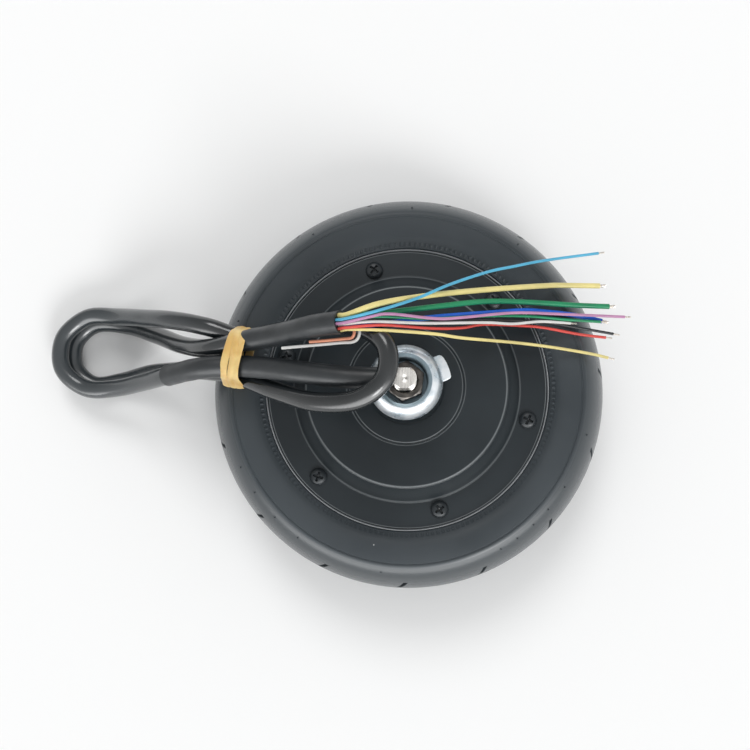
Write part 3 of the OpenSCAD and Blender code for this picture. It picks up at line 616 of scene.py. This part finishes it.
# %% Cable
cable_points = [(-7, 0, 98.2), (-28, 1, 97.8), (-50, 4, 92), (-70, 7.5, 82.5), (-89, 9.5, 74.5),
    (-108, 9, 70.5), (-129, 7, 54.5), (-149, 5, 36), (-169, 3, 22), (-188, 4, 15.6), (-202, 15.5, 15),
    (-202, 33.5, 15), (-188, 45.5, 15.6), (-169, 45, 21), (-148, 41.5, 36.5), (-127, 37.5, 52.5),
    (-107, 32.5, 61.5), (-87, 26.5, 62.5), (-64, 28, 73), (-42, 28.5, 89), (-22, 25.5, 102.5),
    (-9, 15.5, 110), (-9, 0, 110.5), (-22, -10.5, 107.5), (-44, -11, 96), (-67, -3.5, 78), (-90, 6, 62.7),
    (-110, 9.5, 55),
    (-130, 11.5, 35.5), (-149, 12, 19), (-168, 9, 7), (-186, 7, 5.3), (-198, 17, 5.2), (-198, 32.5, 5.2),
    (-186, 43, 5.3), (-166, 41.5, 8), (-145, 34, 22), (-124, 25, 44), (-105, 20.5, 64), (-87, 22.2, 74.2),
    (-64, 24, 88), (-45, 25.5, 104), (-30, 26, 113.5)]

cable_steps = 8
cable_way = smooth(cable_points, cable_steps)
cable = build("cable", drawn(cable_way, 5.0, 28, wobble=0.01, seed=3), "cable_jacket", "axle_side",
              "motor_cable")


def length_of(way):
    """The length of a way in millimetres, given in metres."""
    return float(np.linalg.norm(np.diff(way, axis=0), axis=1).sum()) * MM


print("cable length", round(length_of(cable_way), 3), "m")

# %% [markdown]
# The sleeve over the first stretch and the shrink tube over the last one are thin plastic tubes. Shrink tube
# follows what is under it, narrows at the foot where it grips the cable, and keeps small creases where the
# cable bends. Its mouth is open, with the wall's thickness showing and the wires coming out of the dark.

# %% Sleeve and shrink tube
def shell(way, outer, inner, sides):
    """An open tube: outside along the way, over its two lips, and back inside."""
    verts_out, faces_out = drawn(way, outer, sides)
    verts_in, faces_in = drawn(way, inner, sides)
    count = len(verts_out)
    faces = faces_out[:-2] + [[v + count for v in face[::-1]] for face in faces_in[:-2]]
    for k in range(sides):
        m, last = (k + 1) % sides, count - sides
        faces.append([k, count + k, count + m, m])
        faces.append([last + m, count + last + m, count + last + k, last + k])
    return verts_out + verts_in, faces


def creased(count, radius, foot, lip, seed):
    """Radii for a shrunk tube: small creases, a foot that narrows and a lip that opens."""
    chance = np.random.default_rng(seed)
    t = np.arange(count)
    radii = radius + 0.05 * np.sin(t * 1.9 + chance.uniform(0, 6)) + 0.04 * np.sin(t * 0.8)
    radii[:4] -= np.linspace(foot, 0, 4)
    radii[-4:] += np.linspace(0, lip, 4)
    return radii


sleeve_way = cable_way[:6 * cable_steps + 1]
sleeve = build("long_sleeve", shell(sleeve_way, creased(len(sleeve_way), 5.72, 0.0, 0.06, 1), 5.16, 28),
               "sleeve_plastic", "axle_side", "cable_sleeve")
shrink_way = cable_way[39 * cable_steps:]
shrink = build("shrink_tube", shell(shrink_way, creased(len(shrink_way), 5.72, 0.45, 0.08, 2), 5.05, 28),
               "sleeve_plastic", "axle_side", "heat_shrink")

# %% [markdown]
# ## The rubber band
# One flat band is wound three times round the four strands. A loop can't simply be a circle, because a band
# under pull is straight between the strands that it touches, so each turn follows the shortest string round
# them. It lies a little off the next turn and rises with the strands, as a band that is wound by hand does.

# %% A string round the strands
def outline(circles, grow, count=120):
    """Points round the smallest string that holds the circles, each (across, up, radius)."""
    heads = []
    for angle in np.linspace(0, 2 * np.pi, 720, endpoint=False):
        way = np.array([math.cos(angle), math.sin(angle)])
        best = max(circles, key=lambda c: c[0] * way[0] + c[1] * way[1] + c[2])
        heads.append(np.array(best[:2]) + way * (best[2] + grow))
    heads = np.array(heads + heads[:1])
    far = np.concatenate([[0], np.cumsum(np.linalg.norm(np.diff(heads, axis=0), axis=1))])
    marks = np.linspace(0, far[-1], count, endpoint=False)
    return np.stack([np.interp(marks, far, heads[:, k]) for k in (0, 1)], 1)


strands = [(9.6, 0.6, 5.0), (-10.4, 0.0, 5.0), (-6.6, 11.8, 5.8), (5.6, 11.8, 5.8)]
print("a turn of the band has", len(outline(strands, 1.0)), "sections")

# %% [markdown]
# Each section is a flat ellipse, as wide as the band, that stands square to the string. It never comes lower
# than just over the tyre's sidewall, because the wheel turns under it while the band stands still.

# %% Rubber band
band_middle = (-88.5, 16.0, 62.5)
band_turn = math.radians(-11)
strand_rise = 0.45
band_low = 55.4
slack = 0.6


def band_loop(shift, lean, phase, thick, wide):
    """One turn of the band as a closed loop of flat sections."""
    loop = outline(strands, slack + thick / 2)
    count = len(loop)
    t = np.arange(count) / count * 2 * np.pi
    along = shift + lean * np.sin(t + phase) + 0.35 * np.sin(3 * t + 2 * phase)
    edge = np.gradient(loop, axis=0)
    outward = np.stack([edge[:, 1], -edge[:, 0]], 1)
    outward /= np.linalg.norm(outward, axis=1)[:, None]
    rows = []
    for i in range(count):
        twist = 0.18 * math.sin(2 * t[i] + phase)
        ring = []
        for a in np.linspace(0, 2 * np.pi, 12, endpoint=False):
            flat, high = math.cos(a) * wide / 2, math.sin(a) * thick / 2
            w = flat * math.cos(twist) - high * math.sin(twist)
            h = max(-thick / 2, flat * math.sin(twist) + high * math.cos(twist))
            x, y = -(along[i] + w), loop[i][0] + outward[i][0] * h
            z = max(band_middle[2] + loop[i][1] + strand_rise * x, band_low + thick / 2) + outward[i][1] * h
            ring.append((band_middle[0] + x * math.cos(band_turn) - y * math.sin(band_turn),
                         band_middle[1] + x * math.sin(band_turn) + y * math.cos(band_turn), z))
        rows.append(ring)
    return net(rows, close_rows=True)


band_loops = together(
    band_loop(shift=-3.4, lean=0.7, phase=0.3, thick=0.9, wide=4.6),
    band_loop(shift=0.4, lean=1.1, phase=2.1, thick=1.15, wide=4.2),
    band_loop(shift=3.5, lean=0.6, phase=4.0, thick=0.95, wide=4.4))
band = build("rubber_band_turns", band_loops, "band_rubber", "axle_side", "rubber_band")

# %% [markdown]
# ## The wires
# Three thick wires feed the motor and seven thin ones serve its sensors. All start inside the shrink tube's
# mouth, arch over the wheel and sink towards its far edge, where their tips are stripped. Two more thin wires
# are spares, which are folded back along the cable. A few points each are enough for such smooth ways.

# %% Ways of the wires
wire_ways = {
    "phase_yellow": (2.8, [(-30.69, 28.88, 115.11), (-26.4, 28.99, 117.68), (-11.3, 34.4, 116.5),
        (12.3, 40.5, 103.5), (40.5, 47.1, 82.2), (73.8, 52.7, 62.9), (84.9, 53.5, 59.3),
        (103.1, 53.4, 57.4)]),
    "phase_green": (2.8, [(-29, 28.93, 112.28), (-24.71, 29.04, 114.85), (-9, 30.9, 111.1),
        (16.1, 35.9, 98.5), (41.5, 41.5, 80), (64.8, 43.5, 65.2), (90, 43, 58), (108.1, 42.5, 55.9)]),
    "phase_blue": (2.6, [(-29.23, 24.02, 112.88), (-24.94, 24.13, 115.45), (-11.9, 25.2, 111.6),
        (13.2, 30.2, 99.4), (40.6, 35.4, 80.1), (61.8, 39, 65.9), (74, 39.1, 60.6), (90, 37.6, 57.4),
        (104.1, 34.6, 56.1)]),
    "lead_sky": (1.5, [(-31.81, 26.55, 117.09), (-27.52, 26.66, 119.65), (-13.8, 30.2, 118.2),
        (5.7, 37.6, 110.4), (22.2, 46.6, 99.1), (41.6, 55.8, 84.1), (56.2, 60.9, 73.7), (74, 66, 64.5),
        (102.8, 71, 57.9)]),
    "lead_pink": (1.5, [(-31.71, 24.76, 117), (-27.43, 24.87, 119.57), (-15.9, 27.8, 118),
        (-6.6, 29.6, 114.9), (14.9, 29, 103.7), (28.7, 31, 94), (56.1, 36.3, 75), (81.8, 37.5, 62.5),
        (115.8, 36.5, 58)]),
    "lead_green": (1.5, [(-30.83, 26.28, 115.46), (-26.54, 26.39, 118.02), (-11.7, 28.4, 114.7),
        (12.3, 29, 103.3), (39.6, 33.3, 84), (63.8, 35.6, 68.3), (84, 35, 60.2), (103.1, 33.9, 58.2)]),
    "lead_black": (1.5, [(-29.7, 26.41, 113.57), (-25.41, 26.52, 116.14), (-11.1, 26.8, 108.4),
        (11.9, 28.9, 96.7), (41, 32.4, 78.9), (71, 33.7, 61.4), (92, 30.9, 57.1), (110, 27.7, 56)]),
    "lead_white": (1.5, [(-30.78, 24.38, 115.46), (-26.49, 24.49, 118.02), (-13.9, 25.9, 115.4),
        (10.5, 26.5, 105.2), (40.6, 29.9, 84.2), (55.5, 30.7, 74.2), (71, 33.3, 64.7), (87.3, 33.2, 58.7)]),
    "lead_red": (1.5, [(-30.84, 22.58, 115.63), (-26.55, 22.69, 118.2), (-9.4, 24.5, 113.2),
        (13.2, 24.5, 101.7), (28.6, 26.5, 89.6), (40.2, 29.5, 80.8), (63, 31, 65), (73.9, 30.5, 60.4),
        (92, 27.5, 56.9), (106, 25.8, 56)]),
    "lead_yellow": (1.6, [(-29.79, 21.95, 113.91), (-25.5, 22.06, 116.48), (-9.2, 22.1, 112.4),
        (14.6, 21.7, 102), (28.9, 21.1, 91.3), (57.3, 21.4, 70.3), (78, 20.1, 60.3), (97.9, 17, 57.1),
        (106.9, 14.9, 56.4)]),
    "spare_white": (1.5, [(-27.68, 25.86, 110.22), (-24.94, 25.93, 111.87), (-22.4, 24.3, 112.5),
        (-21.2, 21.1, 113.1), (-22.2, 17.9, 112.9), (-24.8, 16.6, 111.6), (-30.6, 16.6, 109.3),
        (-41.3, 16.3, 104.9), (-52.1, 16.1, 100.3), (-60.9, 15.9, 96.6)]),
    "spare_orange": (1.5, [(-27.94, 23.75, 110.74), (-26.05, 23.8, 111.87), (-24.4, 23.1, 112.8),
        (-23.7, 21.2, 113.3), (-24.3, 19.2, 112.8), (-25.9, 18.4, 111.9), (-30.8, 18.3, 109.8),
        (-38.6, 18.1, 106.5), (-46.4, 18, 103.2)]),
}
coat_of = {"phase_yellow": "wire_yellow", "phase_green": "wire_green", "phase_blue": "wire_blue",
           "lead_sky": "wire_sky", "lead_pink": "wire_pink", "lead_green": "wire_green",
           "lead_black": "wire_black", "lead_white": "wire_white", "lead_red": "wire_red",
           "lead_yellow": "wire_yellow", "spare_white": "wire_white", "spare_orange": "wire_orange"}
print(len(wire_ways), "wires")

# %% [markdown]
# A stripped tip is a bundle of fine strands: one in the middle and six that twist round it and spread a
# little at the end. A single thicker rod would look like a pin.

# %% Stripped tips
tip_length = 3.3


def copper(tip, heading, thick):
    """Seven strands twisted round each other, from the wire's tip onwards."""
    side = np.cross(heading, [0, 0, 1.0])
    side /= np.linalg.norm(side)
    up = np.cross(side, heading)
    strand_r = thick * 0.1
    t = np.linspace(-0.2, 1.0, 9)
    shapes = []
    for k in range(7):
        reach = 0.0 if k == 0 else strand_r * 2
        turn = k / 6 * 2 * np.pi + t * 3.0
        spread_out = reach * (1 + 0.25 * np.clip(t, 0, 1) * (k % 2))
        across = (spread_out * np.cos(turn))[:, None] * side
        upward = (spread_out * np.sin(turn))[:, None] * up
        shapes.append(drawn(tip + np.outer(t * tip_length, heading) + across + upward, strand_r, 6))
    return together(*shapes)


print("a tip has", len(copper(np.zeros(3), np.array([1.0, 0, 0]), 1.5)[1]), "faces")

# %% Wires
hidden = 2.5  # how far each wire starts inside the shrink tube
tips = []
wires = {}
lines = {}
for name, (thick, points) in wire_ways.items():
    way = smooth(points, 6)
    inside = way[0] - (way[1] - way[0]) / np.linalg.norm(way[1] - way[0]) * hidden
    way = np.vstack([inside, way])
    coat = drawn(way, thick / 2, 14, wobble=0.01, seed=len(wires))
    wires[name] = build(name + "_coat", coat, coat_of[name], "axle_side", name)
    lines[name] = way
    if not name.startswith("spare"):
        heading = way[-1] - way[-2]
        tips.append(copper(way[-1], heading / np.linalg.norm(heading), thick))
build("stripped_ends", together(*tips), "tinned_copper", "axle_side", "wire_ends")

# %% [markdown]
# Every wire is a free cord of its own, and each one's length is printed.

# %% Wire lengths
for name, piece in wires.items():
    way = lines[name] * MM
    print(name, round(length_of(way / MM), 3), "m")

# %% [markdown]
# ## The tyre
# The tyre is one moulded ring of rubber. Its section is a profile of rows; its columns aren't evenly spaced,
# because each sipe needs a column on both of its walls to look cut and not dented. Rows and columns meet at
# the sipes' ends too, so pulling those points inwards makes a clean groove in one net.

# %% Tyre rows
tyre_r, half_w, crown = 108.0, 25.0, 14.0


def crown_r(z):
    """The tread's radius at a height from the middle plane, round in section."""
    rise = (abs(z) / half_w) ** 0.8
    return tyre_r - crown + crown * max(0.0, 1 - rise * rise) ** 0.625


sidewall = [(73.5, 0), (73.5, 6), (73.5, 11.9), (76.5, 11.9), (76.5, 20.4), (76.7, 20.75), (77.3, 21.1),
            (78.0, 21.55), (79.6, 22.6), (81.0, 23.5), (82.4, 24.05), (84.2, 24.5), (86.2, 24.8),
            (88.5, 24.93), (92.6, 25.0),
            (92.9, 24.95), (93.1, 24.72), (93.5, 24.7), (93.75, 24.9), (94.0, 24.99)]
heights = [24.97, 24.9, 24.75, 24.5, 24.1, 23.5, 22.7, 21.8, 20.8, 19.8, 18.8, 17.7, 16.5, 15.4, 14.8, 14.55,
           14.4, 13.5, 12, 10.5, 9, 7.5, 6, 5, 4.1, 3.95, 3.5, 3.1, 3.0, 2.0, 1.9, 1.2, 0.25, 0.0]
front_rows = sidewall + [(crown_r(z), z) for z in heights]
rows = np.array(front_rows + [(r, -z) for r, z in front_rows[-2:0:-1]])
print(len(rows), "rows, widest at", rows[:, 0].max(), "mm")

# %% [markdown]
# The sipes repeat every 24 degrees, one on the front shoulder and one on the rear. Each is 2.4 mm wide, and
# has a column just outside, on and just inside each of its walls.

# %% Tyre columns
sipe_half = math.degrees(1.2 / tyre_r)
sipe_step, front_sipe, rear_sipe = 24, 4.4, 19.6
walls = [-sipe_half - 0.25, -sipe_half, -sipe_half + 0.09, 0, sipe_half - 0.09, sipe_half, sipe_half + 0.25]
sector = sorted([front_sipe + o for o in walls] + [rear_sipe + o for o in walls]
                + list(np.arange(6.4, 18, 1.4)) + list(np.arange(21.6, 26.6, 1.35)))
columns = np.array([sipe_step * k + a for k in range(360 // sipe_step) for a in sector])
print(len(columns), "columns")

# %% [markdown]
# Two narrow grooves run round the tread and a fine parting line marks where the mould's halves met. The sipes
# lean, so each row is turned a little more than the last; both shoulders lean the same way from the middle.

# %% Tyre net
tread_from = 94.0
sipe_low, sipe_high = 4.0, 14.5
sipe_depth, groove_depth, parting_height = 2.2, 0.9, 0.12

r = rows[:, 0, None] + 0 * columns
z = rows[:, 1, None] + 0 * columns
on_tread = r > tread_from
off_middle = np.abs(z)
half_step = sipe_step / 2


def degrees_off(sipe):
    """How far each column is from the nearest sipe of one shoulder."""
    return np.abs((columns - sipe + half_step) % sipe_step - half_step)[None] + 0 * z


cut = np.where(z > 0, degrees_off(front_sipe), degrees_off(rear_sipe)) < sipe_half - 0.05
cut &= (off_middle > sipe_low) & (off_middle < sipe_high) & on_tread
groove = (off_middle > 1.95) & (off_middle < 3.05) & on_tread
r = (r - np.where(cut, sipe_depth, 0) - np.where(groove & ~cut, groove_depth, 0)
     + np.where(off_middle < 0.2, parting_height, 0) * on_tread)
lean = 2.2 * (off_middle - (sipe_low + sipe_high) / 2) / (sipe_high - sipe_low)
first_tread_row = len(sidewall)
turn = np.radians(columns[None] + np.where(on_tread, lean, lean[first_tread_row:first_tread_row + 1]))
tyre_net = net(np.stack([r * np.cos(turn), r * np.sin(turn), z + middle], 2), close_rows=True)
print("the tyre's net has", len(tyre_net[1]), "faces")

# %% [markdown]
# Moulding leaves two more traces: a fine knurl on the bead, and little nubs of rubber from the mould's vents.

# %% Tyre
def rib(angle, front):
    """One rib of the fine knurl at the bead, a low ridge that runs outwards."""
    a, w = math.radians(angle), 0.011
    near, far = (77.75, 21.36), (79.3, 22.42)
    points = []
    for radius_at, height in (near, far):
        for side, lift in ((-w, 0.0), (-w * 0.5, 0.34), (w * 0.5, 0.34), (w, 0.0)):
            points.append((radius_at * math.cos(a + side), radius_at * math.sin(a + side),
                           middle + (height + lift) * (1 if front else -1)))
    return points, [[0, 1, 5, 4], [1, 2, 6, 5], [2, 3, 7, 6], [3, 0, 4, 7], [3, 2, 1, 0], [4, 5, 6, 7]]


def nub(angle, front):
    """A little spew of rubber that a mould vent leaves on the shoulder."""
    height, root, length = 22.1, 0.3, 0.7
    at = np.array([crown_r(height), height])
    slope = np.array([crown_r(height - 0.05) - crown_r(height + 0.05), 0.1])
    slope = np.array([slope[1], slope[0]]) / np.linalg.norm(slope)
    a = math.radians(angle)
    ends = [at - slope * root, at + slope * length]
    way = [(p[0] * math.cos(a), p[0] * math.sin(a), middle + p[1] * (1 if front else -1)) for p in ends]
    return drawn(way, 0.42, 8)


nub_angles = [16, 52, 88, 121, 158, 205.5, 214.5, 224.5, 234, 262, 300, 306, 312.5, 319, 327.5, 345]
knurl = [rib(2.0 * k + (0 if front else 1), front) for front in (True, False) for k in range(180)]
nubs = [nub(angle, front) for front in (True, False) for angle in nub_angles]
build("solid_tyre", together(tyre_net, *knurl, *nubs), "tyre_rubber", "wheel", "tyre", sharp=38)

# %% [markdown]
# ## Rim and covers
# The rim is a turned drum whose lip stands round each cover as a thin bright line. Its section is the same
# above and below the middle plane, so half of it is written down and the other half is its mirror image.

# %% Rim
rim_half = [(67.4, 15.0), (75.3, 15.0), (75.3, 19.5), (76.4, 19.5), (76.4, 12.0), (73.5, 12.0)]
rim_profile = rounded([(r, -z) for r, z in rim_half[::-1]] + rim_half, 0.3, 3)
build("drum_rim", turned(rim_profile, 256, rise=middle), "rim_metal", "wheel", "rim")

# %% [markdown]
# The covers are turned from castings: a flat flange for the screws, a sloped band, and a dome with a fine
# double ring. Every corner is rounded by a few tenths, which catches light on those rings, and pale rings of
# painted highlight in the paint draw them as light lines too.

# %% Covers
def cover(top, centre):
    """A cover over the middle plane, with its flange, band, dome and its own centre."""
    profile = [
        (75.2, 15.5), (75.2, 18.5), (61.6, 18.5), (60.4, 20.0), (54.0, top - 0.9), (52.9, top), (31.3, top),
        (30.9, top - 0.55), (30.55, top - 0.15), (30.2, top - 0.55), (29.8, top), *centre]
    return rounded(profile, 0.45, 4)


front_centre = [(20.4, 33.0), (19.9, 32.7), (13.0, 32.7), (13.0, 26.5), (17.5, 26.5), (17.5, 15.5),
                (21.5, 15.5), (21.5, 29.0), (52.0, 29.0), (58.3, 15.5)]
rear_centre = [(14.5, 30.0), (13.9, 29.4), (13.3, 30.0), (0, 30.0), (0, 26.5), (14.0, 26.5), (14.0, 23.5),
               (17.5, 23.5), (17.5, 12.5), (21.5, 12.5), (21.5, 26.0), (52.0, 26.0), (58.3, 15.5)]
build("front_dome_cover", turned(cover(33.0, front_centre), 256, rise=middle), "cover_paint", "wheel",
      "front_cover")
build("rear_dome_cover", moved(turned(cover(30.0, rear_centre), 256), by=(0, 0, middle), flip=True),
      "cover_paint", "wheel", "rear_cover")

# %% [markdown]
# ## Cover screws
# Each cover has six pan-head screws. The head is a polar net whose points drop where a cross recess is: the
# arms get narrower with depth, so the driver centres itself. The shank below carries its thread as rows.

# %% One screw
def screw():
    """A pan-head screw with a cross recess, its head's seat at height 0."""
    head = [(0.0, 3.05), (0.25, 3.05), (0.5, 3.05), (0.75, 3.04), (1.0, 3.02), (1.3, 3.0), (1.6, 2.97),
            (1.9, 2.93), (2.2, 2.88), (2.5, 2.8), (2.8, 2.7), (3.2, 2.54)]
    side = [(3.6, 2.3), (4.0, 1.96), (4.35, 1.55), (4.6, 1.1), (4.75, 0.55), (4.75, 0.15), (4.6, 0.02),
            (2.5, 0.0), (2.42, -0.3), (2.42, -3.8)]
    thread = [(2.5 - (0.38 if k % 2 else 0.02), -4.0 - 0.4 * k) for k in range(19)]
    profile = np.array(head + side + thread + [(2.0, -11.9), (0.0, -11.9)])
    a = np.linspace(0, 2 * np.pi, 96, endpoint=False)
    x, y = profile[:, 0, None] * np.cos(a), profile[:, 0, None] * np.sin(a)
    height = profile[:, 1, None] + 0 * a
    across = np.minimum(np.abs(x), np.abs(y))
    along = np.maximum(np.abs(x), np.abs(y))
    in_arm = np.clip((0.62 - across) / 0.25, 0, 1) * np.clip((2.75 - along) / 0.5, 0, 1)
    depth = in_arm * (1.6 + 0.5 * np.clip(1 - along, 0, 1))
    height = height - np.where(np.arange(len(profile))[:, None] < len(head), depth, 0)
    return net(np.stack([x, y, height], 2))


one_screw = screw()
print("a screw has", len(one_screw[1]), "faces")

# %% [markdown]
# No two screws stop with their crosses at the same angle, so each is turned by its own number of degrees.

# %% Screws
screw_circle, seat = 67.2, 18.5
angles = [math.radians(a) for a in range(45, 360, 60)]
places = [(screw_circle * math.cos(a), screw_circle * math.sin(a)) for a in angles]
turns = [20, 52, 8, 71, 35, 64]
front_set = together(*[moved(one_screw, t, (x, y, middle + seat)) for t, (x, y) in zip(turns, places)])
rear_set = together(*[moved(one_screw, t, (x, y, seat - middle)) for t, (x, y) in zip(turns[::-1], places)])
build("front_cross_screws", front_set, "black_screw", "wheel", "front_screws", sharp=40)
build("rear_cross_screws", moved(rear_set, flip=True), "black_screw", "wheel", "rear_screws", sharp=40)

# %% [markdown]
# ## Axle, nut and washers
# The thread is a real helix: each row's radius follows height and angle together, so a wave of radius
# climbs one pitch a turn. The two flats simply limit y, as a milling cutter does.

# %% Axle
pitch = 1.25
thread_from, thread_to = 48.5, 73.4
half_flats = 5


def threaded(radii, heights_at, around, deep):
    """The radius with a thread on it, cut deep in a shaft, or grown in a bore where deep is below 0."""
    wave = 0.5 + 0.5 * np.cos(2 * np.pi * (heights_at / pitch - around / (2 * np.pi)))
    return radii - deep * wave ** 0.8


a = np.linspace(0, 2 * np.pi, 120, endpoint=False)
body_rows = [(0, -26.0), (7.0, -26.0), (7.5, -25.4), (7.5, -12.5), (10.0, -12.5), (10.0, 15.5), (7.5, 15.5),
             (7.5, 47.1), (7.1, 47.5), (6.0, 47.5)]
thread_rows = [(6.0, h) for h in np.arange(48.2, 73.6, pitch / 7)]
end_rows = [(6.0, 73.6), (5.6, 74.1), (5.2, 74.5), (2.6, 74.5), (0.9, 74.1), (0, 73.6)]
profile = np.array(body_rows + thread_rows + end_rows)
r, z = profile[:, 0, None] + 0 * a, profile[:, 1, None] + 0 * a
on_thread = (z > thread_from) & (z < thread_to) & (r > 5.9)
r = np.where(on_thread, threaded(r, z, a, 0.62), r)
x, y = r * np.cos(a), r * np.sin(a)
y = np.where(z > 47.6, np.clip(y, -half_flats, half_flats), y)
build("threaded_axle", net(np.stack([x, y, z + middle], 2)), "bright_axle", "axle_side", "axle", sharp=28)

# %% [markdown]
# The nut is six-sided with chamfered corners, so each row's radius is the smaller of the hexagon's and the
# chamfer cone's. Its bore carries the same thread as the axle.

# %% Nut
def hex_nut(across, high, bore, turn):
    """A nut with its lower face at height 0."""
    angles = np.linspace(0, 2 * np.pi, 120, endpoint=False)
    from_flat = (angles + math.pi / 6) % (math.pi / 3) - math.pi / 6
    hexagon = across / 2 / np.cos(from_flat)
    chamfer = [(0.0, -0.3), (0.35, 0.35), (0.8, 1.0), (1.2, 90)]
    cones = chamfer + [(high / 2, 90)] + [(high - h, grown) for h, grown in chamfer[::-1]]
    thread_heights = np.arange(high - 0.8, 0.6, -pitch / 7)
    rings = [(bore + 0.7 + 0 * angles, 0.0)]
    rings += [(np.minimum(hexagon, across / 2 + grown), h) for h, grown in cones]
    rings += [(bore + grown + 0 * angles, h) for grown, h in ((0.75, high), (0.1, high - 0.65))]
    rings += [(threaded(bore, h, angles, -0.6), h) for h in thread_heights]
    points = [np.stack([r * np.cos(angles), r * np.sin(angles), 0 * angles + h], 1) for r, h in rings]
    return moved(net(np.array(points), close_rows=True), turn)


nut_turn = 51.9
build("hex_nut", moved(hex_nut(18.0, 10.0, 6.05, nut_turn), by=(0, 0, 81.5)), "nut_steel", "axle_side",
      "axle_nut", sharp=24)

# %% [markdown]
# The cup washer is pressed from sheet and zinc plated. Its flank is a quarter of an ellipse, so the profile
# takes it from cosines and sines, and the wall inside goes down to the flat bottom.

# %% Cup washer
dome = [(13.7 + 5.4 * math.cos(t), 1.2 + 11.3 * math.sin(t)) for t in np.linspace(0, math.pi / 2, 13)]
cup_profile = [(18.6, 0), (19.1, 0.5), *dome, (11.85, 11.9), (11.25, 11.0), (11.2, 2.0), (6.2, 2.0), (6.2, 0)]
build("cup_washer_ring", turned(rounded(cup_profile, 0.35, 4), 192, rise=79.5), "zinc", "axle_side",
      "cup_washer")

# %% [markdown]
# The tab washer under it is stamped from sheet: one outline, extruded and given a small bevel on both faces,
# as the die leaves it. Its hole has the axle's two flats, so it can't turn, and its tab sits in the fork.

# %% Outline of the tab washer
washer_r, hole_r, half_hole, half_tab = 18.9, 6.1, 5.1, 6.7
tab_angle = math.degrees(math.asin(half_tab / washer_r))
edge_points = [(washer_r * math.cos(math.radians(d)), washer_r * math.sin(math.radians(d)))
               for d in np.linspace(tab_angle, 360 - tab_angle, 100)]
edge_points += [(20.4, -6.7), (22.0, -6.55), (22.7, -6.0), (23.1, -4.2), (23.35, -2.0), (23.35, 1.6),
                (22.9, 4.4), (22.3, 5.9), (21.4, 6.6), (20.0, 6.7)]
hole_points = []
for d in np.linspace(0, 360, 73)[:-1]:
    x, y = hole_r * math.cos(math.radians(d)), hole_r * math.sin(math.radians(d))
    hole_points.append((x, max(-half_hole, min(half_hole, y))))
print(len(edge_points), "points round the edge and", len(hole_points), "round the hole")

# %% Tab washer
thickness = 2.0
work = bmesh.new()
rims = []
for points in (edge_points, hole_points):
    loop = [work.verts.new((x * MM, y * MM, 0)) for x, y in points]
    rims += [work.edges.new((loop[i], loop[(i + 1) % len(loop)])) for i in range(len(loop))]
bmesh.ops.triangle_fill(work, use_beauty=True, edges=rims)
bmesh.ops.dissolve_limit(work, angle_limit=0.01, verts=work.verts, edges=work.edges)
top = bmesh.ops.extrude_face_region(work, geom=work.faces[:])
top_verts = [v for v in top["geom"] if isinstance(v, bmesh.types.BMVert)]
bmesh.ops.translate(work, verts=top_verts, vec=(0, 0, thickness * MM))
bmesh.ops.recalc_face_normals(work, faces=work.faces)
work.verts.ensure_lookup_table()
tab_shape = ([[c / MM for c in v.co] for v in work.verts], [[v.index for v in f.verts] for f in work.faces])
work.free()
tab = build("tab_washer_plate", moved(tab_shape, 22, (0, 0, 77.5)), "zinc", "axle_side", "tab_washer")
bevel = tab.modifiers.new("die_edge", "BEVEL")
bevel.width = 0.25 * MM
bevel.segments = 3
bevel.limit_method = "ANGLE"

# %% [markdown]
# ## The floor
# The wheel lies on a pale sweep. The floor is a plain near-white surface that takes the shadow; it needs no
# trick to look white, because the light is at the level where white paper is white.

# %% Floor
floor_mesh = bpy.data.meshes.new("floor")
half_size, floor_height = 6.0, -0.0002
corners = [(x * half_size, y * half_size, floor_height) for x, y in ((-1, -1), (1, -1), (1, 1), (-1, 1))]
floor_mesh.from_pydata(corners, [], [(0, 1, 2, 3)])
floor = bpy.data.objects.new("floor", floor_mesh)
scene.collection.objects.link(floor)
paper = bpy.data.materials.new("paper")
paper.use_nodes = True
matt_paper = paper.node_tree.nodes["Principled BSDF"]
matt_paper.inputs["Base Color"].default_value = (0.975, 0.98, 0.98, 1)
matt_paper.inputs["Roughness"].default_value = 0.9
matt_paper.inputs["Specular IOR Level"].default_value = 0.1
floor_mesh.materials.append(paper)
print("floor", 2 * half_size, "m wide")
